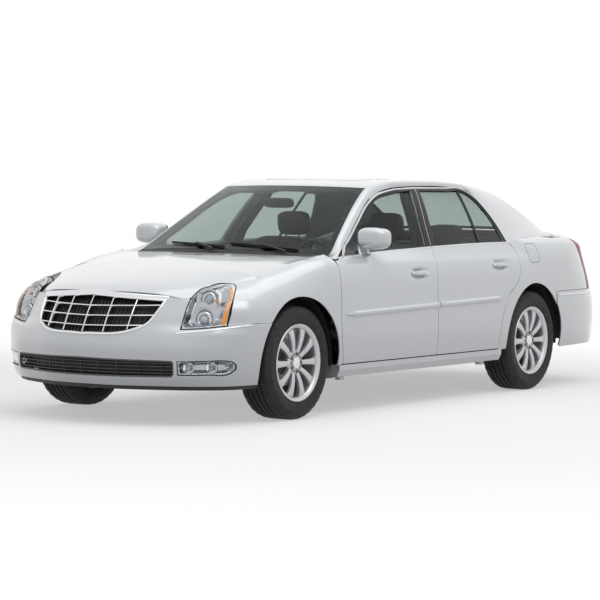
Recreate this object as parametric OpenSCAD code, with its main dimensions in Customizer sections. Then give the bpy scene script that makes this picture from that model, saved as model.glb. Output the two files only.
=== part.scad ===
// Full-size luxury sedan, built as an assembly of separate panels, glass, lamps, seats and running gear.
// Millimetres. X points to the nose, Y to the car's left, Z up. The origin is on the ground below the middle.

/* [Overall] */
// Length over both bumpers
length = 5274; // [5000:1:5500]
// Width over the doors, without the mirrors
width = 1901; // [1800:1:2000]
// Height of the roof above the ground
height = 1480; // [1440:1:1500]
// Distance between the axles
wheelbase = 2936; // [2850:1:3050]
// Distance from the nose to the front axle
front_overhang = 1025; // [980:1:1080]
// Distance between the wheel centre planes of one axle
track = 1587; // [1540:1:1620]

/* [Wheels] */
// Outer diameter of a tyre
tyre_d = 702; // [680:1:712]
// Width of a tyre over its sidewalls
tyre_w = 245; // [225:1:250]
// Diameter of the rim over its flanges
rim_d = 478; // [450:1:490]
// Number of spokes of a wheel
spoke_count = 10; // [7:1:12]
// Number of wheel studs
stud_count = 5; // [4:1:6]
// Radius of a wheel arch around the axle
arch_r = 408; // [400:1:418]
// Diameter of a brake disc
disc_d = 300; // [270:1:320]

/* [Body] */
// Height of the underside of the sills
sill_z = 240; // [225:1:255]
// Height of the lower edge of the doors
door_z = 322; // [312:1:332]
// Height of the widest line of the body side
waist_z = 600; // [585:1:615]
// Height of the belt line at the middle of the car
belt_z = 1032; // [1020:1:1045]
// Shut line between neighbouring panels
shut = 8; // [7:0.5:10]
// Thickness of a door below the belt
door_t = 105; // [90:1:115]
// Thickness of a door's window frame
frame_t = 42; // [36:1:46]
// Thickness of fenders, quarter panels and bumper covers
panel_t = 14; // [10:1:18]
// Thickness of the hood, the boot lid and the roof
lid_t = 24; // [18:1:30]
// Thickness of the glass
glass_t = 6; // [5:0.5:8]

/* [Doors and lids] */
// Opening angle of a door
door_open = 68; // [50:1:70]
// Opening angle of the hood
hood_open = 50; // [40:1:55]
// Opening angle of the boot lid
boot_open = 75; // [60:1:80]
// Radius of a hinge pin
hinge_r = 7; // [6:0.5:8]

/* [Hidden] */
$fn = 48;

half_w = width / 2;
x_nose = length / 2;
x_tail = -length / 2;
x_front = x_nose - front_overhang;
x_rear = x_front - wheelbase;
axle_z = tyre_d / 2;

// Smooth curves through a few keys, each [position, value], where a value may be a vector
function key_index(k, x, i = 0) = i >= len(k) - 2 || x <= k[i + 1][0] ? i : key_index(k, x, i + 1);
function key_slope(k, i) =
    let(a = max(i - 1, 0), b = min(i + 1, len(k) - 1)) (k[b][1] - k[a][1]) / (k[b][0] - k[a][0]);
function curve(k, x) =
    let(
        i = key_index(k, x),
        h = k[i + 1][0] - k[i][0],
        t = min(max((x - k[i][0]) / h, 0), 1),
        a = k[i][1],
        b = k[i + 1][1]
    )
    a + (b - a) * (3 * t * t - 2 * t * t * t)
    + key_slope(k, i) * h * (t * t * t - 2 * t * t + t)
    + key_slope(k, i + 1) * h * (t * t * t - t * t);
function ease(a, b, x) = let(t = min(max((x - a) / (b - a), 0), 1)) t * t * (3 - 2 * t);
function mix(a, b, t) = a + (b - a) * t;
function steps(a, b, n) = [for (i = [0:n]) mix(a, b, i / n)];

// Plan outline of the widest line, from the middle of the nose round the left side to the middle of the tail
plan_keys = [
    [0, [x_nose, 0]],
    [1, [x_nose - 22, 0.24 * half_w]],
    [2, [x_nose - 95, 0.46 * half_w]],
    [3, [x_nose - 200, 0.685 * half_w]],
    [4, [x_nose - 367, 0.882 * half_w]],
    [5, [x_nose - 600, 0.96 * half_w]],
    [6, [x_front, 0.988 * half_w]],
    [7, [x_front - 612, 0.998 * half_w]],
    [8, [(x_front + x_rear) / 2 - 144, half_w]],
    [9, [x_rear + 524, 0.998 * half_w]],
    [10, [x_rear, 0.99 * half_w]],
    [11, [x_rear - 576, 0.965 * half_w]],
    [12, [x_tail + 337, 0.917 * half_w]],
    [13, [x_tail + 128, 0.805 * half_w]],
    [14, [x_tail + 38, 0.59 * half_w]],
    [15, [x_tail + 6, 0.3 * half_w]],
    [16, [x_tail, 0]]
];
t_tail = 16;
function plan(t) = let(p = curve(plan_keys, abs(t))) [p.x, p.y * (t < 0 ? -1 : 1)];
function plan_normal(t) =
    let(d = plan(t + 0.02) - plan(t - 0.02)) [d.y, -d.x] / norm(d);
function t_of_x(x, a = 0, b = t_tail, n = 22) =
    n == 0 ? (a + b) / 2
    : let(m = (a + b) / 2) plan(m).x > x ? t_of_x(x, m, b, n - 1) : t_of_x(x, a, m, n - 1);
function t_of_front_y(y, a = 0, b = 5, n = 22) =
    n == 0 ? (a + b) / 2
    : let(m = (a + b) / 2) plan(m).y < y ? t_of_front_y(y, m, b, n - 1) : t_of_front_y(y, a, m, n - 1);
function t_of_y(y, a = 13, b = t_tail, n = 22) =
    n == 0 ? (a + b) / 2
    : let(m = (a + b) / 2) plan(m).y > y ? t_of_y(y, m, b, n - 1) : t_of_y(y, a, m, n - 1);

// Centre line of the car seen from the side: nose, hood, windscreen, roof, rear window, boot
x_header = x_nose - 168;
x_cowl = x_front - 422;
x_screen = x_front - 1162;
x_light = x_rear + 74;
x_deck = x_rear - 716;
x_lip = x_tail + 62;
roof_z = height;
cowl_z = belt_z - 29;
deck_z = belt_z + 76;
hood_keys = [
    [x_cowl - 150, cowl_z + 3],
    [x_cowl, cowl_z],
    [x_front, belt_z - 64],
    [x_front + 388, belt_z - 117],
    [x_front + 640, belt_z - 166],
    [x_header - 70, belt_z - 207],
    [x_header, belt_z - 240]
];
deck_keys = [
    [x_tail, deck_z - 78],
    [x_lip, deck_z - 56],
    [x_lip + 175, deck_z - 36],
    [x_lip + 375, deck_z - 18],
    [x_deck, deck_z],
    [x_deck + 900, deck_z + 6]
];
top_keys = [
    [x_deck - 60, deck_z - 20],
    [x_deck, deck_z],
    [x_deck + 290, mix(deck_z, roof_z, 0.36)],
    [x_deck + 540, mix(deck_z, roof_z, 0.64)],
    [x_light, mix(deck_z, roof_z, 0.825)],
    [x_light + 250, mix(deck_z, roof_z, 0.918)],
    [x_light + 550, mix(deck_z, roof_z, 0.977)],
    [x_light + 900, roof_z],
    [x_screen - 420, roof_z - 2],
    [x_screen - 120, roof_z - 30],
    [x_screen, roof_z - 58],
    [mix(x_screen, x_cowl, 0.5), mix(roof_z - 58, cowl_z, 0.475)],
    [x_cowl, cowl_z],
    [x_cowl + 60, cowl_z - 30]
];
// The glass bows in plan: its middle lies further out than its corners
screen_bow_low = 108;
screen_bow_high = 150;
light_bow = 80;

// Cross sections above the waist, each [share of the half width, share of the height from waist to middle]
section_nose = [
    [0, 1], [0.3, 0.985], [0.55, 0.945], [0.72, 0.87], [0.82, 0.78], [0.92, 0.6], [0.98, 0.33], [1, 0]
];
section_cowl = [
    [0, 1], [0.3, 0.998], [0.55, 0.99], [0.72, 0.978], [0.82, 0.965], [0.925, 0.93], [0.984, 0.6], [1, 0]
];
section_deck = [
    [0, 1], [0.3, 0.996], [0.55, 0.985], [0.72, 0.965], [0.82, 0.94], [0.92, 0.83], [0.98, 0.47], [1, 0]
];
edge_key = 4;
function indexed(s) = [for (i = [0:len(s) - 1]) [i, s[i]]];
function turned(s) = [for (i = [len(s) - 1:-1:0]) [s[i][1], s[i][0]]];
function front_share(x) = ease(x_cowl, x_front + 500, x);
function front_section(x, k) =
    mix(curve(indexed(section_cowl), k), curve(indexed(section_nose), k), front_share(x));
function upper_tuck(x, y, z) =
    x > 0
    ? let(h = (z - waist_z) / (curve(hood_keys, x) - waist_z))
      y * (1 - mix(curve(turned(section_cowl), h), curve(turned(section_nose), h), front_share(x)))
    : let(h = (z - waist_z) / (curve(deck_keys, x) - waist_z)) y * (1 - curve(turned(section_deck), h));

// Heights of the window band, from the belt to the roof rail
rail_z = height - 45;
function band_z(f) = mix(belt_z, rail_z, f);

// Inward lean of the skin at each height: along the doors, at the nose and at the tail
side_keys = [
    [sill_z - 40, 70], [sill_z, 46], [door_z, 20], [450, 4], [waist_z, 0], [720, 3], [843, 15], [930, 38],
    [977, 66], [belt_z + 8, 100], [band_z(0.293), 160], [band_z(0.541), 218], [band_z(0.789), 284],
    [band_z(0.988), 345]
];
nose_keys = [
    [195, 70], [240, 36], [300, 6], [400, 0], [470, 0], [536, 22], [600, 52], [653, 78], [720, 118], [788, 160],
    [840, 196]
];
tail_keys = [
    [250, 130], [330, 44], [420, 10], [560, 0], [680, 2], [760, 14], [880, 30], [1000, 54], [1060, 84]
];
corner_step = 22;
// The cabin narrows towards the windscreen, from the belt upwards
front_lean = 100;
function lean(x, z) = front_lean * ease(-200, x_front - 712, x) * ease(belt_z - 90, belt_z + 20, z);
function tuck(t, z) =
    let(
        p = plan(t),
        a = abs(t),
        side = curve(side_keys, z) + lean(p.x, z),
        over = z > waist_z ? upper_tuck(p.x, abs(p.y), z) : side,
        blend = max(ease(x_front - 440, x_front - 250, p.x), ease(x_rear + 160, x_rear - 60, p.x)),
        flank = mix(side, over, blend)
    )
    a < 5
    ? mix(curve(nose_keys, z), flank, ease(2.6, 4.4, a))
      + corner_step * ease(540, 620, z) * ease(1.5, 3, a) * ease(5, 4, a)
    : a > 11 ? mix(flank, curve(tail_keys, z), ease(12.6, 13.8, a))
    : flank;
function skin(t, z, depth = 0) =
    let(p = plan(t), n = plan_normal(t), d = tuck(t, z) + depth) [p.x - n.x * d, p.y - n.y * d, z];

// Slabs between an outer and an inner grid of points, the outer one seen from outside with rows to the right
function unit(v) = v / norm(v);
function grid_normal(g, i, j) =
    let(m = len(g) - 1, n = len(g[0]) - 1)
    unit(cross(g[min(i + 1, m)][j] - g[max(i - 1, 0)][j], g[i][min(j + 1, n)] - g[i][max(j - 1, 0)]));
function inset(g, d) =
    [for (i = [0:len(g) - 1]) [for (j = [0:len(g[0]) - 1]) g[i][j] - grid_normal(g, i, j) * d]];
module slab(outer, inner) {
    m = len(outer) - 1;
    n = len(outer[0]) - 1;
    points = concat([for (r = outer) each r], [for (r = inner) each r]);
    o = function(i, j) i * (n + 1) + j;
    p = function(i, j) (m + 1) * (n + 1) + i * (n + 1) + j;
    faces = [
        for (i = [0:m - 1], j = [0:n - 1]) each [
            [o(i, j), o(i, j + 1), o(i + 1, j + 1)],
            [o(i, j), o(i + 1, j + 1), o(i + 1, j)],
            [p(i, j), p(i + 1, j), p(i + 1, j + 1)],
            [p(i, j), p(i + 1, j + 1), p(i, j + 1)]
        ],
        for (i = [0:m - 1]) each [
            [p(i, 0), o(i, 0), o(i + 1, 0)],
            [p(i, 0), o(i + 1, 0), p(i + 1, 0)],
            [p(i, n), o(i + 1, n), o(i, n)],
            [p(i, n), p(i + 1, n), o(i + 1, n)]
        ],
        for (j = [0:n - 1]) each [
            [p(0, j), o(0, j + 1), o(0, j)],
            [p(0, j), p(0, j + 1), o(0, j + 1)],
            [p(m, j), o(m, j), o(m, j + 1)],
            [p(m, j), o(m, j + 1), p(m, j + 1)]
        ]
    ];
    polyhedron(points, faces, convexity = 8);
}
module shell(g, depth) slab(g, inset(g, depth));
// One mesh cut from the skin, which has no bore
module cut_panel() resize([0, 0, 0]) union() children();
module both_sides() {
    children();
    mirror([0, 1, 0]) children();
}
module side_prism(outline, y_low = 200, y_high = 1200)
    translate([0, y_high, 0]) rotate([90, 0, 0]) linear_extrude(y_high - y_low) polygon(outline);
module front_prism(outline, x_low, x_high)
    translate([x_low, 0, 0]) rotate([90, 0, 90]) linear_extrude(x_high - x_low) polygon(outline);
module top_prism(outline, z_low = 0, z_high = 2000)
    translate([0, 0, z_low]) linear_extrude(z_high - z_low) polygon(outline);
module wheel_hole(x, r) translate([x, 0, axle_z]) rotate([90, 0, 0]) cylinder(r = r, h = 3000, center = true);

// Edge of the windscreen, the roof and the rear window, by their centre line position
edge_keys = [
    [x_deck + 20, 0.68 * half_w], [x_deck + 290, 0.645 * half_w], [x_light, 0.602 * half_w], [-500, 0.6 * half_w],
    [x_screen - 420, 0.602 * half_w], [x_screen, 0.592 * half_w], [x_cowl, 0.79 * half_w]
];
crown = 12;
function bow_of(u) =
    mix(screen_bow_high, screen_bow_low, max(0, (u - x_screen) / (x_cowl - x_screen)))
    * ease(x_screen - 500, x_screen, u)
    - light_bow * ease(x_light + 400, x_light, u);
function top_point(u, s) =
    let(y = s * curve(edge_keys, u))
    [u - bow_of(u) * pow(y / 700, 2), y, curve(top_keys, u) - crown * pow(y / 600, 2)];
x_base = x_cowl - 20;
x_header_roof = x_screen - 20;
x_back = x_light - 30;
x_sill = x_deck + 30;
seal = 4;
screen_rows = steps(x_base - seal, x_header_roof + seal, 4);
roof_rows = [
    x_header_roof, x_screen - 210, x_screen - 420, x_screen - 720, x_screen - 1020, x_light + 450, x_light + 200,
    x_back
];
light_rows = [x_back - seal, x_back - 230, x_back - 480, x_back - 580, x_sill + 40, x_sill];
frame_rows = concat(
    screen_rows, [for (i = [1:len(roof_rows) - 1]) roof_rows[i]],
    [for (i = [1:len(light_rows) - 1]) light_rows[i]]
);
function top_grid(rows, n) = [for (u = rows) [for (s = steps(1, -1, n)) top_point(u, s)]];

// Line where the door frames meet the pillars and the roof rail, from the front corner to the rear one
frame_line = [
    [x_front - 469, belt_z - 58], [x_front - 659, belt_z - 7], [x_front - 781, band_z(0.122)],
    [x_front - 973, band_z(0.412)], [x_front - 1188, band_z(0.734)], [x_front - 1338, band_z(0.881)],
    [x_front - 1446, band_z(0.935)], [x_front - 1563, band_z(0.973)], [-220, rail_z], [-560, rail_z - 2],
    [x_rear + 474, band_z(0.948)], [x_rear + 395, band_z(0.829)], [x_rear + 340, band_z(0.64)],
    [x_rear + 294, band_z(0.412)], [x_rear + 238, belt_z + 15],
    [x_rear + 20, belt_z + 38], [x_rear - 280, belt_z + 46], [x_rear - 606, belt_z + 42]
];
last_door_key = 14;
function line_normal(l, i) =
    let(d = l[min(i + 1, len(l) - 1)] - l[max(i - 1, 0)]) [-d.y, d.x] / norm(d);
function moved_line(l, d, a, b) = [for (i = [a:b]) l[i] + line_normal(l, i) * d];

// Door outlines seen from the side
front_lead = [
    [x_front - 464, door_z], [x_front - 430, 480], [x_front - 416, 630], [x_front - 420, 772],
    [x_front - 424, 850], [x_front - 432, 930], [x_front - 438, belt_z - 68]
];
x_split = 25;
split_line = [
    [x_split - 213, rail_z - shut], [x_split - 103, band_z(0.404)], [x_split - 50, belt_z], [x_split, 850],
    [x_split, door_z]
];
rear_trail = [
    [x_rear + 240, belt_z + 2], [x_rear + 212, belt_z - 22], [x_rear + 188, 968], [x_rear + 198, 925],
    [x_rear + 216, 880], [x_rear + 230, 820], [x_rear + 300, 750], [x_rear + 405, 688], [x_rear + 462, 600],
    [x_rear + 505, 470], [x_rear + 528, door_z]
];
function shifted(l, dx) = [for (p = l) [p.x + dx, p.y]];
front_outline = concat(front_lead, moved_line(frame_line, shut, 0, 7), split_line);
rear_outline = concat(
    [for (i = [len(split_line) - 1:-1:0]) split_line[i] - [shut, 0]],
    moved_line(frame_line, shut, 9, last_door_key - 1), [[x_rear + 246, belt_z + 13]], rear_trail
);
trim_w = 40;
post_w = 50;
front_window = concat(
    [[x_front - 730, belt_z - 30]], moved_line(frame_line, shut + trim_w, 2, 7),
    [
        [x_split - 194 + post_w, rail_z - shut - trim_w], [x_split - 103 + post_w, band_z(0.404)],
        [x_split - 50 + post_w, belt_z + 5]
    ]
);
rear_window_cut = concat(
    [
        [x_split - 58 - post_w, belt_z + 8], [x_split - 111 - post_w, band_z(0.404)],
        [x_split - 202 - post_w, rail_z - shut - trim_w]
    ],
    moved_line(frame_line, shut + trim_w, 9, 13), [[x_rear + 290, belt_z + 22]]
);

door_rows = [
    door_z, 450, waist_z, 720, 843, 930, 977, belt_z + 8, band_z(0.174), band_z(0.372), band_z(0.596),
    band_z(0.752), band_z(0.9), rail_z + 6
];
rail_t = 20;
function door_depth(z) =
    mix(mix(door_t, frame_t, ease(belt_z - 30, belt_z + 30, z)), rail_t, ease(rail_z - 90, rail_z - 20, z));
function skin_grid(ts, zs, depth = 0) = [for (t = ts) [for (z = zs) skin(t, z, depth)]];
function door_inner(ts, zs, more = 0) = [for (t = ts) [for (z = zs) skin(t, z, door_depth(z) + more)]];
front_door_ts = steps(t_of_x(x_front - 360), t_of_x(x_split - 170), 7);
rear_door_ts = steps(t_of_x(x_split + 30), t_of_x(x_rear + 150), 7);

// Door hinges: one upright axis for each door, just behind its leading edge and just inside its skin
hinge_in = 13;
hinge_back = 30;
hinge_h = 60;
hinge_play = 0.3;
front_hinge_x = x_front - 425 - hinge_back;
rear_hinge_x = x_split - shut - hinge_back;
function hinge_y(x) = plan(t_of_x(x)).y - hinge_in;
front_hinge_y = hinge_y(front_hinge_x);
rear_hinge_y = hinge_y(rear_hinge_x);
hinge_zs = [500, 680];
pin_r = hinge_r - 3;
notch_back = 24;
notch_skin = 4;
leaf_r = pin_r + hinge_play + 4;
leaf_h = 40;
leaf_seat = -0.1;
module hinge_notches(x, y)
    for (z = hinge_zs)
        translate([x - notch_back, y - door_t - 60, z - hinge_h / 2])
            cube([notch_back + hinge_back + 40, door_t + 60 + hinge_in - notch_skin, hinge_h]);
module hinge_pins(x, y)
    for (z = hinge_zs)
        translate([x, y, z - hinge_h / 2 + hinge_play]) cylinder(r = pin_r, h = hinge_h - 2 * hinge_play);
module hinge_leaf(x, y, depth)
    for (z = hinge_zs) {
        reach = y - skin(t_of_x(x), z, depth).y - leaf_seat;
        translate([x, y, z - leaf_h / 2]) difference() {
            union() {
                cylinder(r = leaf_r, h = leaf_h);
                translate([-leaf_r, -reach, 0]) cube([2 * leaf_r, reach, leaf_h]);
            }
            translate([0, 0, -1]) cylinder(r = pin_r + hinge_play, h = leaf_h + 2);
        }
    }

// A door is an outer skin with a hem all round, and a thick shell within the hem
hem_t = 18;
hem_w = 16;
sail = [
    [front_hinge_x - 60, 890], [x_front, 890], [x_front, belt_z + 60], [x_front - 700, belt_z + 60],
    [x_front - 700, belt_z - 20]
];
module shell_prism(outline)
    translate([0, 1200, 0]) rotate([90, 0, 0]) linear_extrude(1000) difference() {
        offset(delta = -hem_w) polygon(outline);
        polygon(sail);
    }
module door_panel(ts, outline, window, hinge_x, pin_y)
    cut_panel() difference() {
        union() {
            intersection() {
                slab(skin_grid(ts, door_rows), skin_grid(ts, door_rows, hem_t));
                side_prism(outline);
            }
            intersection() {
                slab(skin_grid(ts, door_rows), door_inner(ts, door_rows));
                shell_prism(outline);
            }
        }
        side_prism(window);
        hinge_notches(hinge_x, pin_y);
    }
module door_glass(ts, window)
    cut_panel() intersection() {
        slab(
            [for (t = ts) [for (z = door_rows) skin(t, z, 12)]],
            [for (t = ts) [for (z = door_rows) skin(t, z, 12 + glass_t)]]
        );
        side_prism(window);
    }
handle_l = 200;
handle_d = 22;
module door_handle(x, z) {
    y = skin(t_of_x(x), z).y;
    translate([x - handle_l / 2, y + 8, z]) rotate([0, 90, 0]) cylinder(d = handle_d, h = handle_l);
    for (dx = [-0.42, 0.42])
        translate([x + dx * handle_l, y - 6, z]) rotate([-90, 0, 0]) cylinder(d = handle_d - 4, h = 14);
}

// Left doors; the right ones are their mirror images
mirror_x = x_front - 900;
mirror_z = belt_z + 67;
mirror_y = 896;
mirror_size = [230, 210, 140];
foot_z = belt_z - 46;
foot_h = 20;
module front_door() {
    door_panel(front_door_ts, front_outline, front_window, front_hinge_x, front_hinge_y);
    hinge_pins(front_hinge_x, front_hinge_y);
    door_handle(x_split + 230, 862);
}
module rear_door() {
    door_panel(rear_door_ts, rear_outline, rear_window_cut, rear_hinge_x, rear_hinge_y);
    hinge_pins(rear_hinge_x, rear_hinge_y);
    door_handle(x_rear + 484, 893);
}
module door_mirror() {
    y_foot = skin(t_of_x(mirror_x), foot_z).y + hinge_play;
    translate([mirror_x, mirror_y, mirror_z]) intersection() {
        resize(mirror_size) sphere(d = 100, $fn = 28);
        translate([-45, -200, -200]) cube([200, 400, 400]);
    }
    hull() {
        translate([mirror_x - 25, mirror_y - 60, mirror_z - 46]) cube([90, 40, 22]);
        translate([mirror_x, y_foot, foot_z]) cube([80, 6, foot_h]);
    }
}
module door_front_left() color("gainsboro") front_door();
module door_front_right() color("gainsboro") mirror([0, 1, 0]) front_door();
module door_rear_left() color("gainsboro") rear_door();
module door_rear_right() color("gainsboro") mirror([0, 1, 0]) rear_door();
module glass_front_left() color("slategray") door_glass(front_door_ts, front_window);
module glass_front_right() color("slategray") mirror([0, 1, 0]) door_glass(front_door_ts, front_window);
module glass_rear_left() color("slategray") door_glass(rear_door_ts, rear_window_cut);
module glass_rear_right() color("slategray") mirror([0, 1, 0]) door_glass(rear_door_ts, rear_window_cut);
module mirror_left() color("gainsboro") cut_panel() door_mirror();
module mirror_right() color("gainsboro") mirror([0, 1, 0]) cut_panel() door_mirror();

// Roof, glass and the frames beside them
module roof() color("gainsboro") cut_panel() shell(top_grid(roof_rows, 8), lid_t);
module windshield() color("slategray") cut_panel() shell(top_grid(screen_rows, 10), glass_t);
module rear_window() color("slategray") cut_panel() shell(top_grid(light_rows, 8), glass_t);
frame_bulge = 14;
cowl_half = 788;
cowl_drop = 14;
x_hood_back = x_front - 312;
hood_sweep = 75;
function hood_back_x(y) = x_hood_back - hood_sweep * pow(y / 760, 2);
function cowl_front(s) =
    let(y = s * cowl_half)
    [hood_back_x(y) - cowl_drop, y,
        mix(waist_z, curve(hood_keys, x_hood_back), front_section(x_hood_back, edge_key * abs(s)).y) - cowl_drop];
cowl_corner = cowl_front(1);
function frame_point(i, s) =
    let(
        a = i == 0 ? cowl_corner : top_point(frame_rows[i - 1], 1),
        l = frame_line[i],
        b = skin(t_of_x(l.x), l.y),
        o = unit([0, 0.75, 0.66])
    )
    mix(a, b, s) + o * frame_bulge * 4 * s * (1 - s);
frame_grid = [for (i = [0:len(frame_rows)]) [for (s = [1, 0.75, 0.5, 0.25, 0]) frame_point(i, s)]];
frame_depth = 26;
// The frame grows inwards square to the car beside the doors, and square to its face beside the glass
function frame_inner(i, j) =
    let(
        s = j / 4,
        n = grid_normal(frame_grid, i, j),
        d = unit(mix([0, 1, 0], [n.x, 0, n.z], s))
    )
    frame_grid[i][j] - d * frame_depth;
frame_back = [for (i = [0:len(frame_grid) - 1]) [for (j = [0:4]) frame_inner(i, j)]];
module side_frames() color("gainsboro") both_sides() cut_panel() slab(frame_grid, frame_back);

// Fenders and quarter panels
function hood_edge_y(x) = plan(t_of_x(x)).y * front_section(x, edge_key).x;
function hood_edge_z(x) = mix(waist_z, curve(hood_keys, x), front_section(x, edge_key).y);
lamp_low = 575;
fender_ts = steps(t_of_x(x_front + 690), t_of_x(x_front - 470), 15);
fender_keys = [7, 6.5, 6, 5.5, 5, 4.6, 4.3, 4, 3.7];
fender_low = [door_z - shut, 440, 520];
function fender_column(t) =
    let(x = plan(t).x)
    concat(
        [for (z = fender_low) skin(t, z)],
        [for (k = fender_keys) skin(t, mix(waist_z, curve(hood_keys, x), front_section(x, k).y))]
    );
fender_rear = concat(
    [for (p = front_lead) p + [shut, 0]], [[x_front - 430, belt_z - 56], [x_front - 470, belt_z - 48]],
    [[x_front - 470, belt_z + 60], [x_front + 1000, belt_z + 60], [x_front + 1000, door_z - shut]],
    [[x_front - 464 + shut, door_z - shut]]
);
seam = 4;
lamp_rear = [
    [x_front + 638, lamp_low + 21], [x_front + 584, 723], [x_front + 500, 815], [x_front + 440, 860],
    [x_front + 435, 900]
];
bumper_top = [[x_front + 100, 598], [x_front + 458, 610], [x_front + 640, lamp_low + 13], [x_front + 790, lamp_low - 10]];
// Plan outline of the pillar foot behind the fender
pillar_foot = [frame_grid[0][4], frame_grid[0][0]];
fender_back = concat(
    [[x_front - 700, 300], [pillar_foot[0].x + shut, 300]],
    [for (p = pillar_foot) [p.x + shut, p.y]],
    [[pillar_foot[1].x + shut, 1000], [x_front - 700, 1000]]
);
module fender() cut_panel() difference() {
    intersection() {
        shell([for (t = fender_ts) fender_column(t)], panel_t);
        side_prism(fender_rear);
    }
    wheel_hole(x_front, arch_r);
    hood_space();
    top_prism(fender_back, belt_z - 92, belt_z + 100);
    side_prism(concat([for (p = bumper_top) p + [0, seam]], [[x_nose, 100], [x_front + 100, 100]]));
    side_prism(concat(
        shifted(lamp_rear, -seam), [[x_nose, 900], [x_nose, lamp_low - 20], lamp_rear[0] - [seam, 10]]
    ));
}
module front_fenders() color("gainsboro") both_sides() fender();

x_quarter = x_rear + 528;
last_key = len(frame_line) - 1;
quarter_xs = concat(
    [x_rear + 560, x_rear + 420], [for (i = [last_door_key:last_key]) frame_line[i].x],
    [x_deck - 120, x_lip + 240, x_lip + 120, x_lip + 40]
);
function deck_edge_y(x) = plan(t_of_x(x)).y * section_deck[edge_key].x;
function deck_share(s) = curve(section_deck, s);
function deck_edge_z(x) = mix(waist_z, curve(deck_keys, x), section_deck[edge_key].y);
quarter_top_keys = concat(
    [for (x = [x_lip, x_lip + 240, x_deck - 120]) [x, deck_edge_z(x)]],
    [for (i = [last_key:-1:last_door_key]) frame_line[i]], [[x_rear + 560, belt_z + 20]]
);
function quarter_column(x) =
    let(
        t = t_of_x(x),
        top = curve(quarter_top_keys, x),
        upper = [for (f = [0.25, 0.5, 0.7, 0.84, 0.93, 1]) mix(waist_z, top, f)]
    )
    [for (z = concat([door_z - shut, 440, 530, waist_z], upper)) skin(t, z)];
quarter_front = concat(
    [[x_rear + 230, belt_z + 60]], moved_line(rear_trail, -shut, 0, len(rear_trail) - 1),
    [[x_quarter - shut, door_z - shut], [x_tail - 50, door_z - shut], [x_tail - 50, belt_z + 120]],
    [[x_rear + 230, belt_z + 120]]
);
rear_bumper_z = 688;
lamp_rear_line = [[x_tail + 400, belt_z + 24], [x_tail + 225, 939], [x_tail + 80, rear_bumper_z]];
module quarter() cut_panel() difference() {
    intersection() {
        shell([for (x = quarter_xs) quarter_column(x)], panel_t);
        side_prism(quarter_front);
    }
    wheel_hole(x_rear, arch_r);
    translate([x_tail - 100, 0, 100]) cube([x_rear - 324 - x_tail + 100, 1200, rear_bumper_z - 100]);
    side_prism(concat(lamp_rear_line, [[x_tail - 100, rear_bumper_z], [x_tail - 100, belt_z + 24]]));
}
module quarter_panels() color("gainsboro") both_sides() quarter();

// Hood
hood_xs = [
    x_header - 6, x_header - 60, x_header - 160, x_header - 320, x_header - 520, x_front + 200, x_front,
    x_front - 180, x_hood_back
];
hood_shares = [1, 0.86, 0.68, 0.45, 0.2, 0, -0.2, -0.45, -0.68, -0.86, -1];
function hood_point(u, s) =
    let(
        k = edge_key * abs(s),
        bend = mix(-hood_sweep, hood_sweep * 1.6, ease(x_front - 200, x_header, u)),
        e = hood_edge_y(u - 40 * ease(x_front + 400, x_header, u)) - shut / 2,
        y = sign(s) * e * front_section(u, k).x / front_section(u, edge_key).x,
        x = u - abs(bend) * pow(y / 760, 2) * (bend < 0 ? 1 : 1.9),
        q = front_section(u, k).y
    )
    [x, y, mix(waist_z, curve(hood_keys, u), q)];
hood_grid = [for (u = hood_xs) [for (s = hood_shares) hood_point(u, s)]];
hood_outline = concat(
    [for (r = hood_grid) [r[0].x, r[0].y]], [for (p = hood_grid[len(hood_grid) - 1]) [p.x, p.y]],
    [for (i = [len(hood_grid) - 1:-1:0]) let(p = hood_grid[i][len(hood_shares) - 1]) [p.x, p.y]],
    [for (j = [len(hood_shares) - 2:-1:1]) [hood_grid[0][j].x, hood_grid[0][j].y]]
);
// Room for the hood, which the panels round it stay clear of
module hood_space(more = 0)
    translate([0, 0, 640]) linear_extrude(800) offset(delta = shut + more) polygon(hood_outline);
hood_axis_x = x_hood_back - 110;
hood_axis_z = curve(hood_keys, x_hood_back) - 66;
hood_arm_y = 560;
hinge_w = 20;
post_t = 12;
hood_post_y = hood_arm_y + hinge_w + 8;
module hood() color("gainsboro") {
    cut_panel() shell(hood_grid, lid_t);
    both_sides() translate([hood_axis_x, hood_arm_y, hood_axis_z]) rotate([-90, 0, 0]) difference() {
        union() {
            cylinder(r = 14, h = hinge_w);
            translate([0, -8, 0]) cube([150, 18, hinge_w]);
            translate([110, -44, 0]) cube([40, 44, hinge_w]);
        }
        translate([0, 0, -1]) cylinder(r = hinge_r + hinge_play, h = hinge_w + 2);
    }
}

// Boot lid: one path over the deck and down the rear face
lid_gap = 16;
lid_side_gap = 26;
x_lid = x_sill - lid_gap;
lid_top_us = [x_lid, x_lid - 120, x_lid - 260, x_lid - 400, x_lip + 10];
lid_face_zs = [deck_z - 74, 960, 860, 770, rear_bumper_z + shut];
lid_shares = [1, 0.8, 0.5, 0.2, 0, -0.2, -0.5, -0.8, -1];
lid_w = 590;
function lid_top(u, s) =
    let(
        bend = mix(light_bow - 10, 45, ease(x_lid, x_lip, u)),
        w = deck_edge_y(u + bend) - lid_side_gap,
        y = s * w
    )
    [
        u + bend * pow(y / 700, 2), y,
        mix(waist_z, curve(deck_keys, u), deck_share(abs(s) * section_deck[edge_key].x))
    ];
function lid_face(z, s) =
    let(y = s * lid_w, p = skin(t_of_y(abs(y)), z)) [p.x, y, z];
lid_grid = concat(
    [for (u = lid_top_us) [for (s = lid_shares) lid_top(u, s)]],
    [for (z = lid_face_zs) [for (s = lid_shares) lid_face(z, s)]]
);
lid_axis_x = x_lid - 45;
lid_axis_z = curve(deck_keys, lid_axis_x) - lid_t - 34;
lid_arm_y = 480;
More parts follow.
